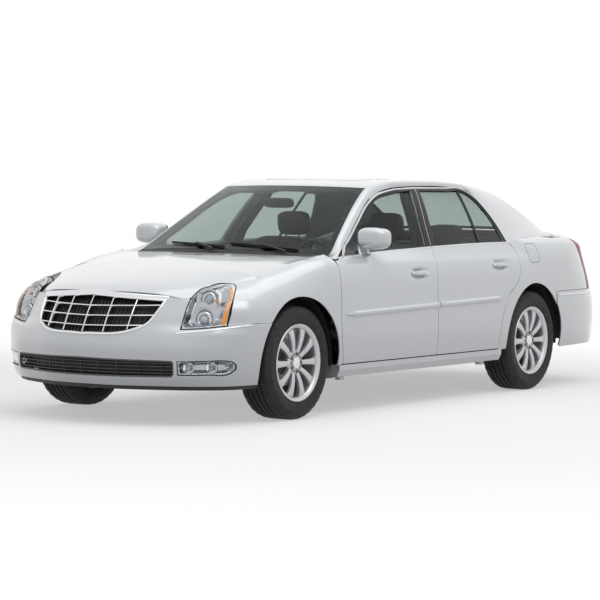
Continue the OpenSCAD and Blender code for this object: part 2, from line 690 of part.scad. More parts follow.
module boot_lid() color("gainsboro") {
    cut_panel() shell(lid_grid, lid_t);
    both_sides() translate([lid_axis_x, lid_arm_y, lid_axis_z]) rotate([-90, 0, 0]) difference() {
        union() {
            cylinder(r = 14, h = hinge_w);
            translate([-14, -34, 0]) cube([28, 34, hinge_w]);
        }
        translate([0, 0, -1]) cylinder(r = hinge_r + hinge_play, h = hinge_w + 2);
    }
}

// Front end: bumper cover with the grille opening, grille bars, lower grille and lamps
lamp_inner = [[590, lamp_low], [556, belt_z - 278]];
grille_half = [[0, belt_z - 262], [478, belt_z - 294], [455, 660], [400, 586], [340, 560], [0, 538]];
function whole(half) =
    concat(half, [for (i = [len(half) - 1:-1:0]) if (half[i].x > 0) [-half[i].x, half[i].y]]);
grille_hole = whole(grille_half);
lower_hole = whole([[0, 398], [580, 390], [588, 380], [588, 314], [574, 300], [0, 296]]);
fog_hole = [[604, 391], [744, 394], [818, 391], [846, 372], [856, 346], [840, 324], [740, 311], [608, 308]];
nose_zs = [sill_z, 300, 350, 400, 470, 536, 600, 653, 720, belt_z - 244];
bumper_ts = steps(-t_of_x(x_front + 230), t_of_x(x_front + 230), 26);
nose_middle = whole([
    [0, belt_z - 250], [545, belt_z - 282], [582, lamp_low - 8], [582, sill_z], [0, sill_z]
]);
module nose_slab(ts, zs, a, b)
    slab([for (t = ts) [for (z = zs) skin(t, z, a)]], [for (t = ts) [for (z = zs) skin(t, z, b)]]);
module front_bumper() color("gainsboro") cut_panel() difference() {
    intersection() {
        nose_slab(bumper_ts, nose_zs, 0, panel_t);
        union() {
            front_prism(nose_middle, x_front, x_nose + 10);
            side_prism(
                concat(bumper_top, [[x_nose, lamp_low - 10], [x_nose, sill_z], [x_front, sill_z]]), -1200, 1200
            );
        }
    }
    for (h = [grille_hole, lower_hole]) front_prism(h, x_front + 600, x_nose + 10);
    both_sides() front_prism(fog_hole, x_front + 400, x_nose + 10);
    hood_space();
    wheel_hole(x_front, arch_r);
}
grille_ts = steps(-2.9, 2.9, 14);
grille_zs = [530, 590, 653, 720, belt_z - 255];
bar_w = 9;
surround_w = 16;
cells_across = 6;
cells_up = 4;
module grille_cells() {
    cell_w = 2 * 462 / cells_across;
    cell_h = (belt_z - 262 - 538) / cells_up;
    intersection() {
        offset(delta = -surround_w) polygon(grille_hole);
        for (i = [0:cells_across - 1], j = [0:cells_up - 1])
            translate([-462 + i * cell_w + bar_w / 2, 538 + j * cell_h + bar_w / 2])
                square([cell_w - bar_w, cell_h - bar_w]);
    }
}
module grille() color("silver") cut_panel() intersection() {
    nose_slab(grille_ts, grille_zs, -4, 26);
    translate([x_front + 600, 0, 0]) rotate([90, 0, 90]) linear_extrude(500) difference() {
        polygon(grille_hole);
        grille_cells();
    }
}
slat_count = 4;
module lower_grille() color("dimgray") cut_panel() intersection() {
    nose_slab(steps(-3.2, 3.2, 14), [290, 350, 410], 4, 40);
    front_prism(lower_hole, x_front + 600, x_nose + 10);
    translate([x_front + 600, 0, 0]) rotate([90, 0, 90]) linear_extrude(500) {
        difference() {
            polygon(lower_hole);
            offset(delta = -8) polygon(lower_hole);
        }
        for (i = [1:slat_count])
            translate([-600, 298 + i * 100 / (slat_count + 1) - 3]) square([1200, 6]);
    }
}
module air_dam() color("dimgray") cut_panel()
    nose_slab(steps(-t_of_x(x_front + 380), t_of_x(x_front + 380), 18), [sill_z - 26, sill_z], 12, 30);

lamp_ts = steps(2.5, t_of_x(x_front + 425), 12);
lamp_zs = [lamp_low - 6, 620, 680, 740, 800, 850];
lamp_side = concat([[x_front + 830, lamp_low - 8]], lamp_rear, [[x_front + 830, 900]]);
module lamp_cut(d) difference() {
    lamp_block(d);
    hood_space(d);
}
module lamp_block(d) intersection() {
    translate([0, 1200, 0]) rotate([90, 0, 0]) linear_extrude(1000) offset(delta = -d) polygon(lamp_side);
    front_prism(
        [
            lamp_inner[0] + [d, -10], lamp_inner[1] + [2 + d, 8], [580 + d, 800 - d], [660, 842 - d], [1000, 870 - d],
            [1000, 500]
        ],
        x_front, x_nose
    );
}
module headlamps() color("silver") both_sides() cut_panel() difference() {
    intersection() {
        nose_slab(lamp_ts, lamp_zs, 5, lamp_d);
        lamp_cut(0);
    }
    intersection() {
        nose_slab(lamp_ts, lamp_zs, 0, lamp_d - 10);
        lamp_cut(12);
    }
}
module headlamp_lenses() color("lightcyan") both_sides() cut_panel() intersection() {
    nose_slab(lamp_ts, lamp_zs, 0, 5);
    lamp_cut(0);
}
module fog_lamps() color("lightcyan") both_sides() cut_panel() intersection() {
    nose_slab(steps(2.6, 5, 8), [290, 350, 410], 6, 40);
    front_prism(fog_hole, x_front + 380, x_nose);
}

// Rear end: bumper cover, tail lamps
rear_zs = [door_z - 32, 350, 420, 560, rear_bumper_z];
rear_ts = concat(
    steps(t_of_x(x_rear - 330), 13, 6), steps(13.4, 16, 7), [for (t = steps(15.6, 13.4, 6)) -t],
    [for (t = steps(13, t_of_x(x_rear - 330), 6)) -t]
);
module rear_bumper() color("gainsboro") cut_panel() difference() {
    nose_slab(rear_ts, rear_zs, -6, panel_t);
    wheel_hole(x_rear, arch_r);
}
tail_ts = concat(steps(t_of_x(x_tail + 430), 13, 5), steps(13.25, t_of_y(lid_w + 3 * shut), 4));
module tail_lamps() color("firebrick") both_sides() cut_panel() intersection() {
    nose_slab(tail_ts, [rear_bumper_z + 1, 780, 880, 960, 1020, deck_z - 60], 0, 26);
    side_prism(concat(
        shifted(lamp_rear_line, -play), [[x_tail - 100, rear_bumper_z], [x_tail - 100, belt_z + 24]]
    ));
    top_prism(concat(
        [for (x = steps(x_tail + 500, x_tail, 8)) [x, deck_edge_y(x)]],
        [[x_tail, half_w + 50], [x_tail + 500, half_w + 50]]
    ));
}

// Floor, sills and the structure below the skin
floor_t = 24;
floor_z = 215;
cabin_half = half_w - 230;
trunk_half = track / 2 - 253;
x_wall = x_front - 380;
axle_floor_z = 480;
boot_floor_z = 320;
x_rear_wall = x_tail + 160;
floor_path = [
    [x_wall, 880], [x_wall, 420], [x_wall - 200, floor_z], [x_rear + 500, floor_z], [x_rear + 400, axle_floor_z],
    [x_rear - 250, axle_floor_z], [x_rear - 330, boot_floor_z], [x_rear_wall, boot_floor_z], [x_rear_wall, 640]
];
function path_band(p, d) =
    concat(p, [for (i = [len(p) - 1:-1:0]) let(n = line_normal(p, i)) p[i] - n * d]);
liner_t = 10;
liner_r = arch_r + 6 + liner_t;
module liner_space(x, y_in) both_sides()
    translate([x, y_in, axle_z]) rotate([-90, 0, 0]) cylinder(r = liner_r, h = 1000);
module floor_pan() color("dimgray") {
    difference() {
        floor_sheet();
        liner_space(x_front, rail_y + rail_w / 2);
        liner_space(x_rear, trunk_half);
    }
    hood_posts();
}
module floor_sheet() intersection() {
    side_prism(path_band(floor_path, floor_t), -cabin_half, cabin_half);
    union() {
        translate([x_rear + 470, -cabin_half, 0]) cube([3000, 2 * cabin_half, 2000]);
        translate([x_tail, -trunk_half, 0]) cube([-x_tail + x_rear + 471, 2 * trunk_half, 2000]);
    }
}
module hood_posts() both_sides() {
    translate([hood_axis_x - 14, hood_post_y, 850])
        cube([x_wall - hood_axis_x + 20, post_t, hood_axis_z - 850 + 12]);
    translate([hood_axis_x, hood_arm_y - 4, hood_axis_z]) rotate([-90, 0, 0])
        cylinder(r = hinge_r, h = hood_post_y - hood_arm_y + 5);
}
x_boot = x_rear_wall + floor_t;
boot_top_z = 870;
shelf_z = belt_z - 30;
boot_side = [
    [x_boot, boot_floor_z + floor_t], [x_boot, boot_top_z], [lid_axis_x - 40, boot_top_z],
    [lid_axis_x - 12, lid_axis_z - 60], [lid_axis_x - 12, lid_axis_z + 6], [lid_axis_x - 6, lid_axis_z + 12],
    [lid_axis_x + 6, lid_axis_z + 12], [lid_axis_x + 12, lid_axis_z + 6], [lid_axis_x + 12, boot_top_z],
    [x_rear - 630, boot_top_z], [x_rear - 570, shelf_z], [x_rear - 400, shelf_z],
    [x_rear - 400, boot_floor_z + floor_t]
];
module boot_trim() color("dimgray") both_sides() {
    side_prism(boot_side, trunk_half - post_t, trunk_half);
    translate([lid_axis_x, lid_arm_y - 4, lid_axis_z]) rotate([-90, 0, 0])
        cylinder(r = hinge_r, h = trunk_half - post_t - lid_arm_y + 5);
}
module parcel_shelf() color("dimgray")
    translate([x_rear - 560, -trunk_half, shelf_z]) cube([690, 2 * trunk_half, 14]);
rocker_x = x_front - liner_r - 1;
rocker_end = x_quarter - 60;
rocker_section = [
    [cabin_half, floor_z], [half_w - 90, sill_z - 10], [half_w - 45, sill_z], [half_w - 26, sill_z + 40],
    [half_w - 24, door_z - shut], [cabin_half, door_z - shut]
];
jack_d = 60;
jack_y = half_w - 130;
jack_low = floor_z - 6;
module rockers() color("gainsboro") both_sides() {
    front_prism(rocker_section, rocker_end, rocker_x);
    for (x = [rocker_x - 160, rocker_end + 120])
        translate([x, jack_y, jack_low]) cylinder(d = jack_d, h = 30);
}
pillar_gap = 16;
pillar_t = 44;
pillar_rows = [
    door_z - shut, 450, waist_z, 720, 843, 930, 977, belt_z + 8, band_z(0.174), band_z(0.372), band_z(0.596),
    band_z(0.752), rail_z - 17
];
post_gap = pillar_gap + 20;
post_x = x_front - liner_r - 6;
module pillars() color("dimgray") both_sides() {
    cut_panel() intersection() {
        slab(
            door_inner(rear_door_ts, pillar_rows, pillar_gap),
            door_inner(rear_door_ts, pillar_rows, pillar_gap + pillar_t)
        );
        side_prism([
            [x_split + 70, door_z - shut], [x_split + 60, 850], [x_split + 10, belt_z], [x_split - 150, rail_z],
            [x_split - 260, rail_z], [x_split - 110, belt_z], [x_split - 80, 850], [x_split - 90, door_z - shut]
        ]);
    }
    cut_panel() intersection() {
        slab(
            door_inner(front_door_ts, pillar_rows, post_gap),
            door_inner(front_door_ts, pillar_rows, post_gap + pillar_t)
        );
        side_prism([[post_x, door_z - shut], [post_x, 915], [x_front - 500, 915], [x_front - 500, door_z - shut]]);
    }
}

module door_hinges() color("gray") both_sides() {
    hinge_leaf(front_hinge_x, front_hinge_y, door_t + post_gap);
    hinge_leaf(rear_hinge_x, rear_hinge_y, door_t + pillar_gap);
}

// Wheels, in their own frame with Z pointing out of the car, and the tyres on them
play = 0.3;
hub_bore = 32;
rim_r = rim_d / 2;
bead_r = rim_r - 19;
rim_half = 112;
flange_t = 8;
spoke_w = 30;
cap_r = 36;
stud_circle = 57;
disc_face = -20;
module rim_ring() rotate_extrude() polygon([
    [bead_r - 13, -rim_half], [rim_r, -rim_half], [rim_r, -rim_half + flange_t], [bead_r, -rim_half + flange_t],
    [bead_r - 6, -50], [bead_r - 6, 50], [bead_r, rim_half - flange_t], [rim_r, rim_half - flange_t],
    [rim_r, rim_half], [rim_r - 8, rim_half], [bead_r - 8, rim_half - 12], [bead_r - 16, 40], [bead_r - 14, -50]
]);
module spokes() intersection() {
    linear_extrude(200) {
        circle(r = 78);
        for (i = [0:spoke_count - 1])
            rotate(i * 360 / spoke_count)
                polygon([
                    [60, -spoke_w / 2 - 2], [bead_r - 12, -spoke_w / 2 + 3], [bead_r - 12, spoke_w / 2 - 3],
                    [60, spoke_w / 2 + 2]
                ]);
    }
    rotate_extrude() polygon([
        [0, 40], [70, 44], [bead_r - 12, 66], [bead_r - 12, rim_half - 14], [150, rim_half - 8], [80, rim_half - 18],
        [60, rim_half - 24], [0, rim_half - 24]
    ]);
}
module wheel() difference() {
    union() {
        rim_ring();
        spokes();
        translate([0, 0, -40]) cylinder(r = 74, h = 100);
        translate([0, 0, disc_face - 14]) cylinder(r = disc_d / 2, h = 28);
        translate([0, 0, rim_half - 26]) cylinder(r = cap_r, h = 10);
    }
    translate([0, 0, -60]) cylinder(r = hub_bore, h = 110);
    for (i = [0:stud_count - 1])
        rotate((i + 0.5) * 360 / stud_count) translate([stud_circle, 0, rim_half - 36]) cylinder(r = 10, h = 60);
}
tyre_r = tyre_d / 2;
tyre_half = tyre_w / 2;
bead_half = rim_half - flange_t - play;
module tyre() rotate_extrude($fn = 96) polygon([
    [bead_r + play, -bead_half], [rim_r + 1, -bead_half], [bead_r + 30, -tyre_half + 8],
    [bead_r + 66, -tyre_half],
    [tyre_r - 40, -tyre_half + 4], [tyre_r - 16, -tyre_half + 14], [tyre_r - 5, -tyre_half + 28],
    [tyre_r, -tyre_half + 50], [tyre_r, tyre_half - 50], [tyre_r - 5, tyre_half - 28],
    [tyre_r - 16, tyre_half - 14], [tyre_r - 40, tyre_half - 4], [bead_r + 66, tyre_half],
    [bead_r + 30, tyre_half - 8], [rim_r + 1, bead_half], [bead_r + play, bead_half]
]);
module at_wheel(x, side)
    mirror([0, side < 0 ? 1 : 0, 0]) translate([x, track / 2, axle_z]) rotate([-90, 0, 0]) children();
module wheel_front_left() color("lightgray") at_wheel(x_front, 1) wheel();
module wheel_front_right() color("lightgray") at_wheel(x_front, -1) wheel();
module wheel_rear_left() color("lightgray") at_wheel(x_rear, 1) wheel();
module wheel_rear_right() color("lightgray") at_wheel(x_rear, -1) wheel();
module tyre_front_left() color("black") at_wheel(x_front, 1) tyre();
module tyre_front_right() color("black") at_wheel(x_front, -1) tyre();
module tyre_rear_left() color("black") at_wheel(x_rear, 1) tyre();
module tyre_rear_right() color("black") at_wheel(x_rear, -1) tyre();

// Knuckles on their steering axes, with the stub axle that the hub turns on
steer_y = track / 2 - 76;
stub_r = hub_bore - play;
king_r = 24;
king_h = 150;
module knuckle() {
    translate([x_front, steer_y, axle_z - king_h / 2]) cylinder(r = king_r, h = king_h);
    translate([x_front, steer_y, axle_z]) rotate([-90, 0, 0])
        cylinder(r = stub_r, h = track / 2 - steer_y + 40);
}
module front_knuckle_left() color("gray") knuckle();
module front_knuckle_right() color("gray") mirror([0, 1, 0]) knuckle();
rail_y = 400;
rail_w = 70;
rail_end = plan(t_of_front_y(rail_y + rail_w / 2)).x - panel_t - 95;
module front_subframe() color("gray") {
    both_sides() {
        translate([x_wall, rail_y - rail_w / 2, 330]) cube([rail_end - x_wall, rail_w, 90]);
        translate([x_front - 40, rail_y - 30, 260]) cube([80, 60, 80]);
        arm(axle_z - king_h / 2 - arm_t - play);
        arm(axle_z + king_h / 2 + play);
        translate([x_front - 40, rail_y - 30, 410]) cube([80, 60, axle_z + king_h / 2 - 400]);
    }
    translate([x_front - 90, -rail_y - 40, floor_z]) cube([180, 2 * rail_y + 80, 60]);
}
arm_t = 24;
module arm(z) translate([x_front, 0, z]) {
    translate([0, steer_y, 0]) cylinder(r = king_r, h = arm_t);
    translate([-36, rail_y - 30, 0]) cube([72, 60, arm_t]);
    translate([-18, rail_y, 0]) cube([36, steer_y - rail_y, arm_t]);
}
module rear_suspension() color("gray") {
    both_sides() {
        translate([x_rear, 90, axle_z]) rotate([-90, 0, 0]) cylinder(r = stub_r - 10, h = track / 2 - 180);
        translate([x_rear, track / 2 - 100, axle_z]) rotate([-90, 0, 0]) cylinder(r = stub_r, h = 140);
        translate([x_rear - 40, 200, 235]) cube([80, track / 2 - 330, 26]);
        translate([x_rear - 25, track / 2 - 150, 240]) cube([50, 24, axle_z - 240]);
    }
    translate([x_rear - 40, -90, axle_z + 60]) cube([80, 180, axle_floor_z - axle_z - 60]);
    translate([x_rear, -120, axle_z]) rotate([-90, 0, 0]) cylinder(r = 110, h = 240);
    translate([x_rear - 60, -260, 230]) cube([120, 520, 40]);
}
liner_end = 870;
module liner(x, y_in) translate([x, y_in, axle_z]) rotate([-90, 0, 0]) difference() {
    cylinder(r = liner_r, h = liner_end - y_in);
    translate([0, 0, liner_t]) cylinder(r = liner_r - liner_t, h = 1000);
    translate([-1000, 40, -10]) cube([2000, 2000, 2000]);
    translate([-70, -120, -10]) cube([140, 300, 60]);
}
module wheel_liners() color("dimgray") both_sides() {
    liner(x_front, rail_y + rail_w / 2);
    liner(x_rear, trunk_half);
}
module engine() color("gray") translate([x_front - 330, -270, floor_z + 60]) cube([680, 540, 500]);
// Radiator, bumper beam and the panel that carries the lamps, shaped to the back of the nose
beam_d = 60;
lamp_d = 76;
carrier_ts = [for (i = [7:19]) bumper_ts[i]];
lamp_beam_ts = concat([for (i = [len(lamp_ts) - 1:-1:0]) -lamp_ts[i]], steps(-2.3, 2.3, 8), lamp_ts);
module front_carrier() color("dimgray") {
    translate([x_front + 640, -360, 300]) cube([60, 720, 420]);
    translate([x_front + 620, -rail_y + rail_w / 2, 330]) cube([20, 2 * rail_y - rail_w, 90]);
    cut_panel() {
        nose_slab(carrier_ts, [400, 470], panel_t, panel_t + beam_d);
        nose_slab(lamp_beam_ts, [620, 680], lamp_d, lamp_d + 24);
        for (t = [-2.2, 1.9])
            nose_slab([t, t + 0.3], [400, 470, 536, 600, 680], panel_t + beam_d - 30, lamp_d + 24);
    }
}
module rear_carrier() color("dimgray") {
    cut_panel() nose_slab([for (i = [10:17]) rear_ts[i]], [420, 560], panel_t, panel_t + beam_d);
    both_sides() translate([x_tail + 60, 300, 430]) cube([x_rear_wall - x_tail - 60, 120, 60]);
}
pipe_r = 28;
muffler_l = 400;
module exhaust() color("gray") both_sides() {
    translate([x_tail + 130 + muffler_l - 5, 300, floor_z - pipe_r]) rotate([0, 90, 0])
        cylinder(r = pipe_r, h = x_front - 900 - x_tail - muffler_l);
    translate([x_tail + 130, 230, floor_z - pipe_r - 30])
        cube([muffler_l, 240, boot_floor_z - floor_z + pipe_r + 30]);
}

// Cabin
seat_y = 380;
seat_half = 260;
front_seat_side = [
    [450, 330], [470, 440], [430, 490], [60, 470], [-60, 700], [-170, 1020], [-185, 1110], [-165, 1230],
    [-250, 1250], [-290, 1110], [-270, 1000], [-130, 480], [-110, 330]
];
rear_seat_side = [
    [x_rear + 860, 330], [x_rear + 870, 470], [x_rear + 480, 520], [x_rear + 280, 940], [x_rear + 260, 1080],
    [x_rear + 175, 1080], [x_rear + 370, 520], [x_rear + 440, 505], [x_rear + 520, 330]
];
module seat_prism(side, y, half) side_prism(side, y - half, y + half);
module front_seats() color("dimgray") for (s = [-1, 1]) {
    seat_prism(front_seat_side, s * seat_y, seat_half);
    translate([-60, s * seat_y - 180, floor_z + floor_t]) cube([440, 360, 330 - floor_z - floor_t]);
}
module rear_seat() color("dimgray") {
    seat_prism(rear_seat_side, 0, trunk_half);
    translate([x_rear + 510, -trunk_half, floor_z + floor_t])
        cube([320, 2 * trunk_half, 330 - floor_z - floor_t]);
}
module dashboard() color("dimgray") {
    column();
    side_prism([
        [x_wall - floor_t - play, 620], [x_wall - floor_t - play, 836], [x_wall - 70, 840], [x_wall - 70, 880],
        [x_wall - 110, 950], [x_front - 760, 975], [x_front - 860, 930], [x_front - 880, 780],
        [x_front - 780, 640]
    ], 30 - cabin_half, cabin_half - 30);
}
module column() translate([wheel_x, seat_y, wheel_z]) rotate([0, -90 + wheel_tilt, 0])
    translate([0, 0, -hub_back - play - 200]) cylinder(r = 38, h = 200);
hub_back = 25;
wheel_x = x_front - 1010;
wheel_z = 900;
wheel_tilt = 25;
module steering_wheel() color("dimgray")
    translate([wheel_x, seat_y, wheel_z]) rotate([0, -90 + wheel_tilt, 0]) {
        rotate_extrude() translate([185, 0]) circle(r = 15);
        translate([0, 0, -25]) cylinder(r = 70, h = 40);
        for (a = [0, 120, 240]) rotate(a + 90) translate([40, -16, -10]) cube([135, 32, 16]);
    }
// The cowl is a trough behind the hood, with a slot for each hood arm
trough = 30;
function cowl_point(f, s) =
    let(p = mix(cowl_front(s), top_point(x_base, s), f)) p - [0, 0, f < 1 ? trough - 6 * f : 0];
module cowl() color("dimgray") cut_panel() difference() {
    shell([for (f = [0, 0.6, 1]) [for (s = steps(1, -1, 10)) cowl_point(f, s)]], 10);
    both_sides() translate([hood_axis_x - 24, hood_arm_y - 8, 800])
        cube([300, hood_post_y + post_t - hood_arm_y + 14, 400]);
}

floor_pan();
rockers();
pillars();
side_frames();
roof();
windshield();
rear_window();
front_fenders();
quarter_panels();
front_bumper();
rear_bumper();
grille();
lower_grille();
air_dam();
headlamps();
headlamp_lenses();
fog_lamps();
tail_lamps();
cowl();
dashboard();
front_seats();
rear_seat();
engine();
front_carrier();
rear_carrier();
boot_trim();
parcel_shelf();
door_hinges();
front_subframe();
rear_suspension();
exhaust();
wheel_liners();
hood();
boot_lid();
door_front_left();
door_front_right();
door_rear_left();
door_rear_right();
glass_front_left();
glass_front_right();
glass_rear_left();
glass_rear_right();
mirror_left();
mirror_right();
front_knuckle_left();
front_knuckle_right();
wheel_front_left();
wheel_front_right();
wheel_rear_left();
wheel_rear_right();
tyre_front_left();
tyre_front_right();
tyre_rear_left();
tyre_rear_right();
steering_wheel();
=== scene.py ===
"""Looks of a full-size luxury sedan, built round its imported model.

The functions work in millimetres, with X to the nose, Y to the left and Z up, and the meshes are in metres.
"""

import math

import bpy
import numpy as np
from mathutils import Matrix, Vector
from mathutils.geometry import delaunay_2d_cdt


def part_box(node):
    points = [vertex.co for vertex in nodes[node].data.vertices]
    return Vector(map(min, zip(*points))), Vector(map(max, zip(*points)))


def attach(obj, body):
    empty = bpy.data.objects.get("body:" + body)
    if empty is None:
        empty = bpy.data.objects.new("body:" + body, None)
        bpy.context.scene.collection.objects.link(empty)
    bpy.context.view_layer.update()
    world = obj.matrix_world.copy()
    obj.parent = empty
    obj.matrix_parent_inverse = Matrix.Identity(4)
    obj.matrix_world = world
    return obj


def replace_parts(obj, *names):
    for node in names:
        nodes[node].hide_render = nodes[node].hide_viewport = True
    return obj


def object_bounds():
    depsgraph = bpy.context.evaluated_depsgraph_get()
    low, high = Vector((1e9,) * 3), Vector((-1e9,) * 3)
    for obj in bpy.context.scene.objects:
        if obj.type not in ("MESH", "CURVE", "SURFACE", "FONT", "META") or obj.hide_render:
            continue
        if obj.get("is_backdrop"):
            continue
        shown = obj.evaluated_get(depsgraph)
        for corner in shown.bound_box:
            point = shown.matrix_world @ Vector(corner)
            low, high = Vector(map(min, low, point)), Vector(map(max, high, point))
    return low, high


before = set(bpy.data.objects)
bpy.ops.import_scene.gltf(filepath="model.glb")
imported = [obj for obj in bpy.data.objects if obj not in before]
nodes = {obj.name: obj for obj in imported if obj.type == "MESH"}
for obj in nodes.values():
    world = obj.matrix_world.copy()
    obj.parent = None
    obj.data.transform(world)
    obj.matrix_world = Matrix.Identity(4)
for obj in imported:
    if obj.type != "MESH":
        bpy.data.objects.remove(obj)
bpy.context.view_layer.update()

# Main sizes of the car
HALF_W, HEIGHT = 950.5, 1480.0
NOSE, TAIL = 2637.0, -2637.0
FRONT, REAR = 1612.0, -1324.0
AXLE, TRACK, ARCH = 351.0, 1587.0, 408.0
SILL, DOOR, WAIST, BELT, SHUT = 240.0, 322.0, 600.0, 1032.0, 8.0
RAIL = HEIGHT - 45
HEADER, COWL, SCREEN, LIGHT, DECK = NOSE - 168, FRONT - 422, FRONT - 1162, REAR + 74, REAR - 716
LIP = TAIL + 62
COWL_Z, DECK_Z = BELT - 29, BELT + 76


def mix(a, b, t):
    return a + (b - a) * t


def ease(a, b, x):
    t = np.clip((np.asarray(x, float) - a) / (b - a), 0, 1)
    return t * t * (3 - 2 * t)


class Curve:
    """A smooth curve through keys, each (position, value), where a value may be a vector."""

    def __init__(self, keys):
        self.k = np.array([k for k, _ in keys], float)
        v = np.array([v for _, v in keys], float)
        self.v = v[:, None] if v.ndim == 1 else v
        self.flat = v.ndim == 1
        n = np.arange(len(keys))
        low, high = np.maximum(n - 1, 0), np.minimum(n + 1, len(keys) - 1)
        self.m = (self.v[high] - self.v[low]) / (self.k[high] - self.k[low])[:, None]

    def __call__(self, x):
        x = np.asarray(x, float)
        i = np.clip(np.searchsorted(self.k, x, side="left") - 1, 0, len(self.k) - 2)
        h = (self.k[i + 1] - self.k[i])[..., None]
        t = np.clip((x[..., None] - self.k[i][..., None]) / h, 0, 1)
        a, b = self.v[i], self.v[i + 1]
        r = a + (b - a) * (3 * t**2 - 2 * t**3)
        r = r + self.m[i] * h * (t**3 - 2 * t**2 + t) + self.m[i + 1] * h * (t**3 - t**2)
        return r[..., 0] if self.flat else r


# Plan outline of the widest line, from the middle of the nose round the left side to the middle of the tail
PLAN = Curve(list(enumerate([
    (NOSE, 0), (NOSE - 22, 0.24 * HALF_W), (NOSE - 95, 0.46 * HALF_W), (NOSE - 200, 0.685 * HALF_W),
    (NOSE - 367, 0.882 * HALF_W), (NOSE - 600, 0.96 * HALF_W), (FRONT, 0.988 * HALF_W),
    (FRONT - 612, 0.998 * HALF_W), ((FRONT + REAR) / 2 - 144, HALF_W), (REAR + 524, 0.998 * HALF_W),
    (REAR, 0.99 * HALF_W), (REAR - 576, 0.965 * HALF_W), (TAIL + 337, 0.917 * HALF_W),
    (TAIL + 128, 0.805 * HALF_W), (TAIL + 38, 0.59 * HALF_W), (TAIL + 6, 0.3 * HALF_W), (TAIL, 0),
])))
END = 16.0


def blunt(t):
    """|t|, rounded off below 1 so that the middle of the car has no crease."""
    t = np.abs(t)
    return np.where(t < 1, 0.375 + 0.75 * t**2 - 0.125 * t**4, t)


def plan(t):
    t = np.asarray(t, float)
    side = np.where(t < 0, -1.0, 1.0)
    a = np.abs(t)
    over = np.where(a > END, -1.0, 1.0)
    a = np.where(a > END, 2 * END - a, a)
    x = np.where(a < 8, PLAN(blunt(a))[..., 0], PLAN(END - blunt(END - a))[..., 0])
    return np.stack([x, PLAN(a)[..., 1] * side * over], -1)


def plan_normal(t):
    d = plan(t + 0.02) - plan(t - 0.02)
    n = np.stack([d[..., 1], -d[..., 0]], -1)
    return n / np.linalg.norm(n, axis=-1, keepdims=True)


T_TABLE = np.linspace(0, END, 3201)
X_TABLE = plan(T_TABLE)[:, 0]
S_TABLE = np.concatenate([[0], np.cumsum(np.linalg.norm(np.diff(plan(T_TABLE), axis=0), axis=1))])


def t_of_x(x):
    return np.interp(-np.asarray(x, float), -X_TABLE, T_TABLE)


def t_of_s(s):
    return np.interp(np.abs(s), S_TABLE, T_TABLE) * np.where(np.asarray(s) < 0, -1.0, 1.0)


def s_of_t(t):
    return np.interp(np.abs(t), T_TABLE, S_TABLE) * np.where(np.asarray(t) < 0, -1.0, 1.0)


# Centre lines and cross sections
HOOD = Curve([
    (COWL - 150, COWL_Z + 3), (COWL, COWL_Z), (FRONT, BELT - 64), (FRONT + 388, BELT - 117),
    (FRONT + 640, BELT - 166), (HEADER - 70, BELT - 207), (HEADER, BELT - 240),
])
DECK_LINE = Curve([
    (TAIL, DECK_Z - 78), (LIP, DECK_Z - 56), (LIP + 175, DECK_Z - 36), (LIP + 375, DECK_Z - 18),
    (DECK, DECK_Z), (DECK + 900, DECK_Z + 6),
])
ROOF_LIFT = [(290, 0.36), (540, 0.64), (LIGHT - DECK, 0.825), (LIGHT + 250 - DECK, 0.918),
             (LIGHT + 550 - DECK, 0.977)]
TOP = Curve(
    [(DECK - 60, DECK_Z - 20), (DECK, DECK_Z)]
    + [(DECK + dx, mix(DECK_Z, HEIGHT, f)) for dx, f in ROOF_LIFT]
    + [(LIGHT + 900, HEIGHT), (SCREEN - 420, HEIGHT - 2), (SCREEN - 120, HEIGHT - 30),
       (SCREEN, HEIGHT - 58),
       ((SCREEN + COWL) / 2, mix(HEIGHT - 58, COWL_Z, 0.475)), (COWL, COWL_Z), (COWL + 60, COWL_Z - 30)]
)
SECTION_NOSE = [(0, 1), (0.3, 0.985), (0.55, 0.945), (0.72, 0.87), (0.82, 0.78), (0.92, 0.6), (0.98, 0.33),
                (1, 0)]
SECTION_COWL = [(0, 1), (0.3, 0.998), (0.55, 0.99), (0.72, 0.978), (0.82, 0.965), (0.925, 0.93),
                (0.984, 0.6), (1, 0)]
SECTION_DECK = [(0, 1), (0.3, 0.996), (0.55, 0.985), (0.72, 0.965), (0.82, 0.94), (0.92, 0.83),
                (0.98, 0.47), (1, 0)]
EDGE_KEY = 4


def turned(section):
    return Curve([(b, a) for a, b in reversed(section)])


NOSE_BY_KEY, COWL_BY_KEY = Curve(list(enumerate(SECTION_NOSE))), Curve(list(enumerate(SECTION_COWL)))
NOSE_BY_Z, COWL_BY_Z, DECK_BY_Z = turned(SECTION_NOSE), turned(SECTION_COWL), turned(SECTION_DECK)
DECK_BY_Y = Curve(SECTION_DECK)


def front_share(x):
    return ease(COWL, FRONT + 500, x)


def front_section(x, key):
    return mix(COWL_BY_KEY(key), NOSE_BY_KEY(key), front_share(x)[..., None])


def upper_tuck(x, y, z):
    h = (z - WAIST) / (HOOD(x) - WAIST)
    front = mix(COWL_BY_Z(h), NOSE_BY_Z(h), front_share(x))
    rear = DECK_BY_Z((z - WAIST) / (DECK_LINE(x) - WAIST))
    return y * (1 - np.where(x > 0, front, rear))


# Inward lean of the skin at each height: along the doors, at the nose and at the tail
SIDE_LEAN = Curve([
    (SILL - 40, 70), (SILL, 46), (DOOR, 20), (450, 4), (WAIST, 0), (720, 3), (843, 15), (930, 38),
    (977, 66),
    (BELT + 8, 100), (1150, 160), (1250, 218), (1350, 284), (1430, 345),
])
NOSE_LEAN = Curve([
    (195, 70), (240, 36), (300, 6), (400, 0), (470, 0), (536, 22), (600, 52), (653, 78), (720, 118),
    (788, 160),
    (840, 196),
])
TAIL_LEAN = Curve([
    (250, 130), (330, 44), (420, 10), (560, 0), (680, 2), (760, 14), (880, 30), (1000, 54), (1060, 84),
])

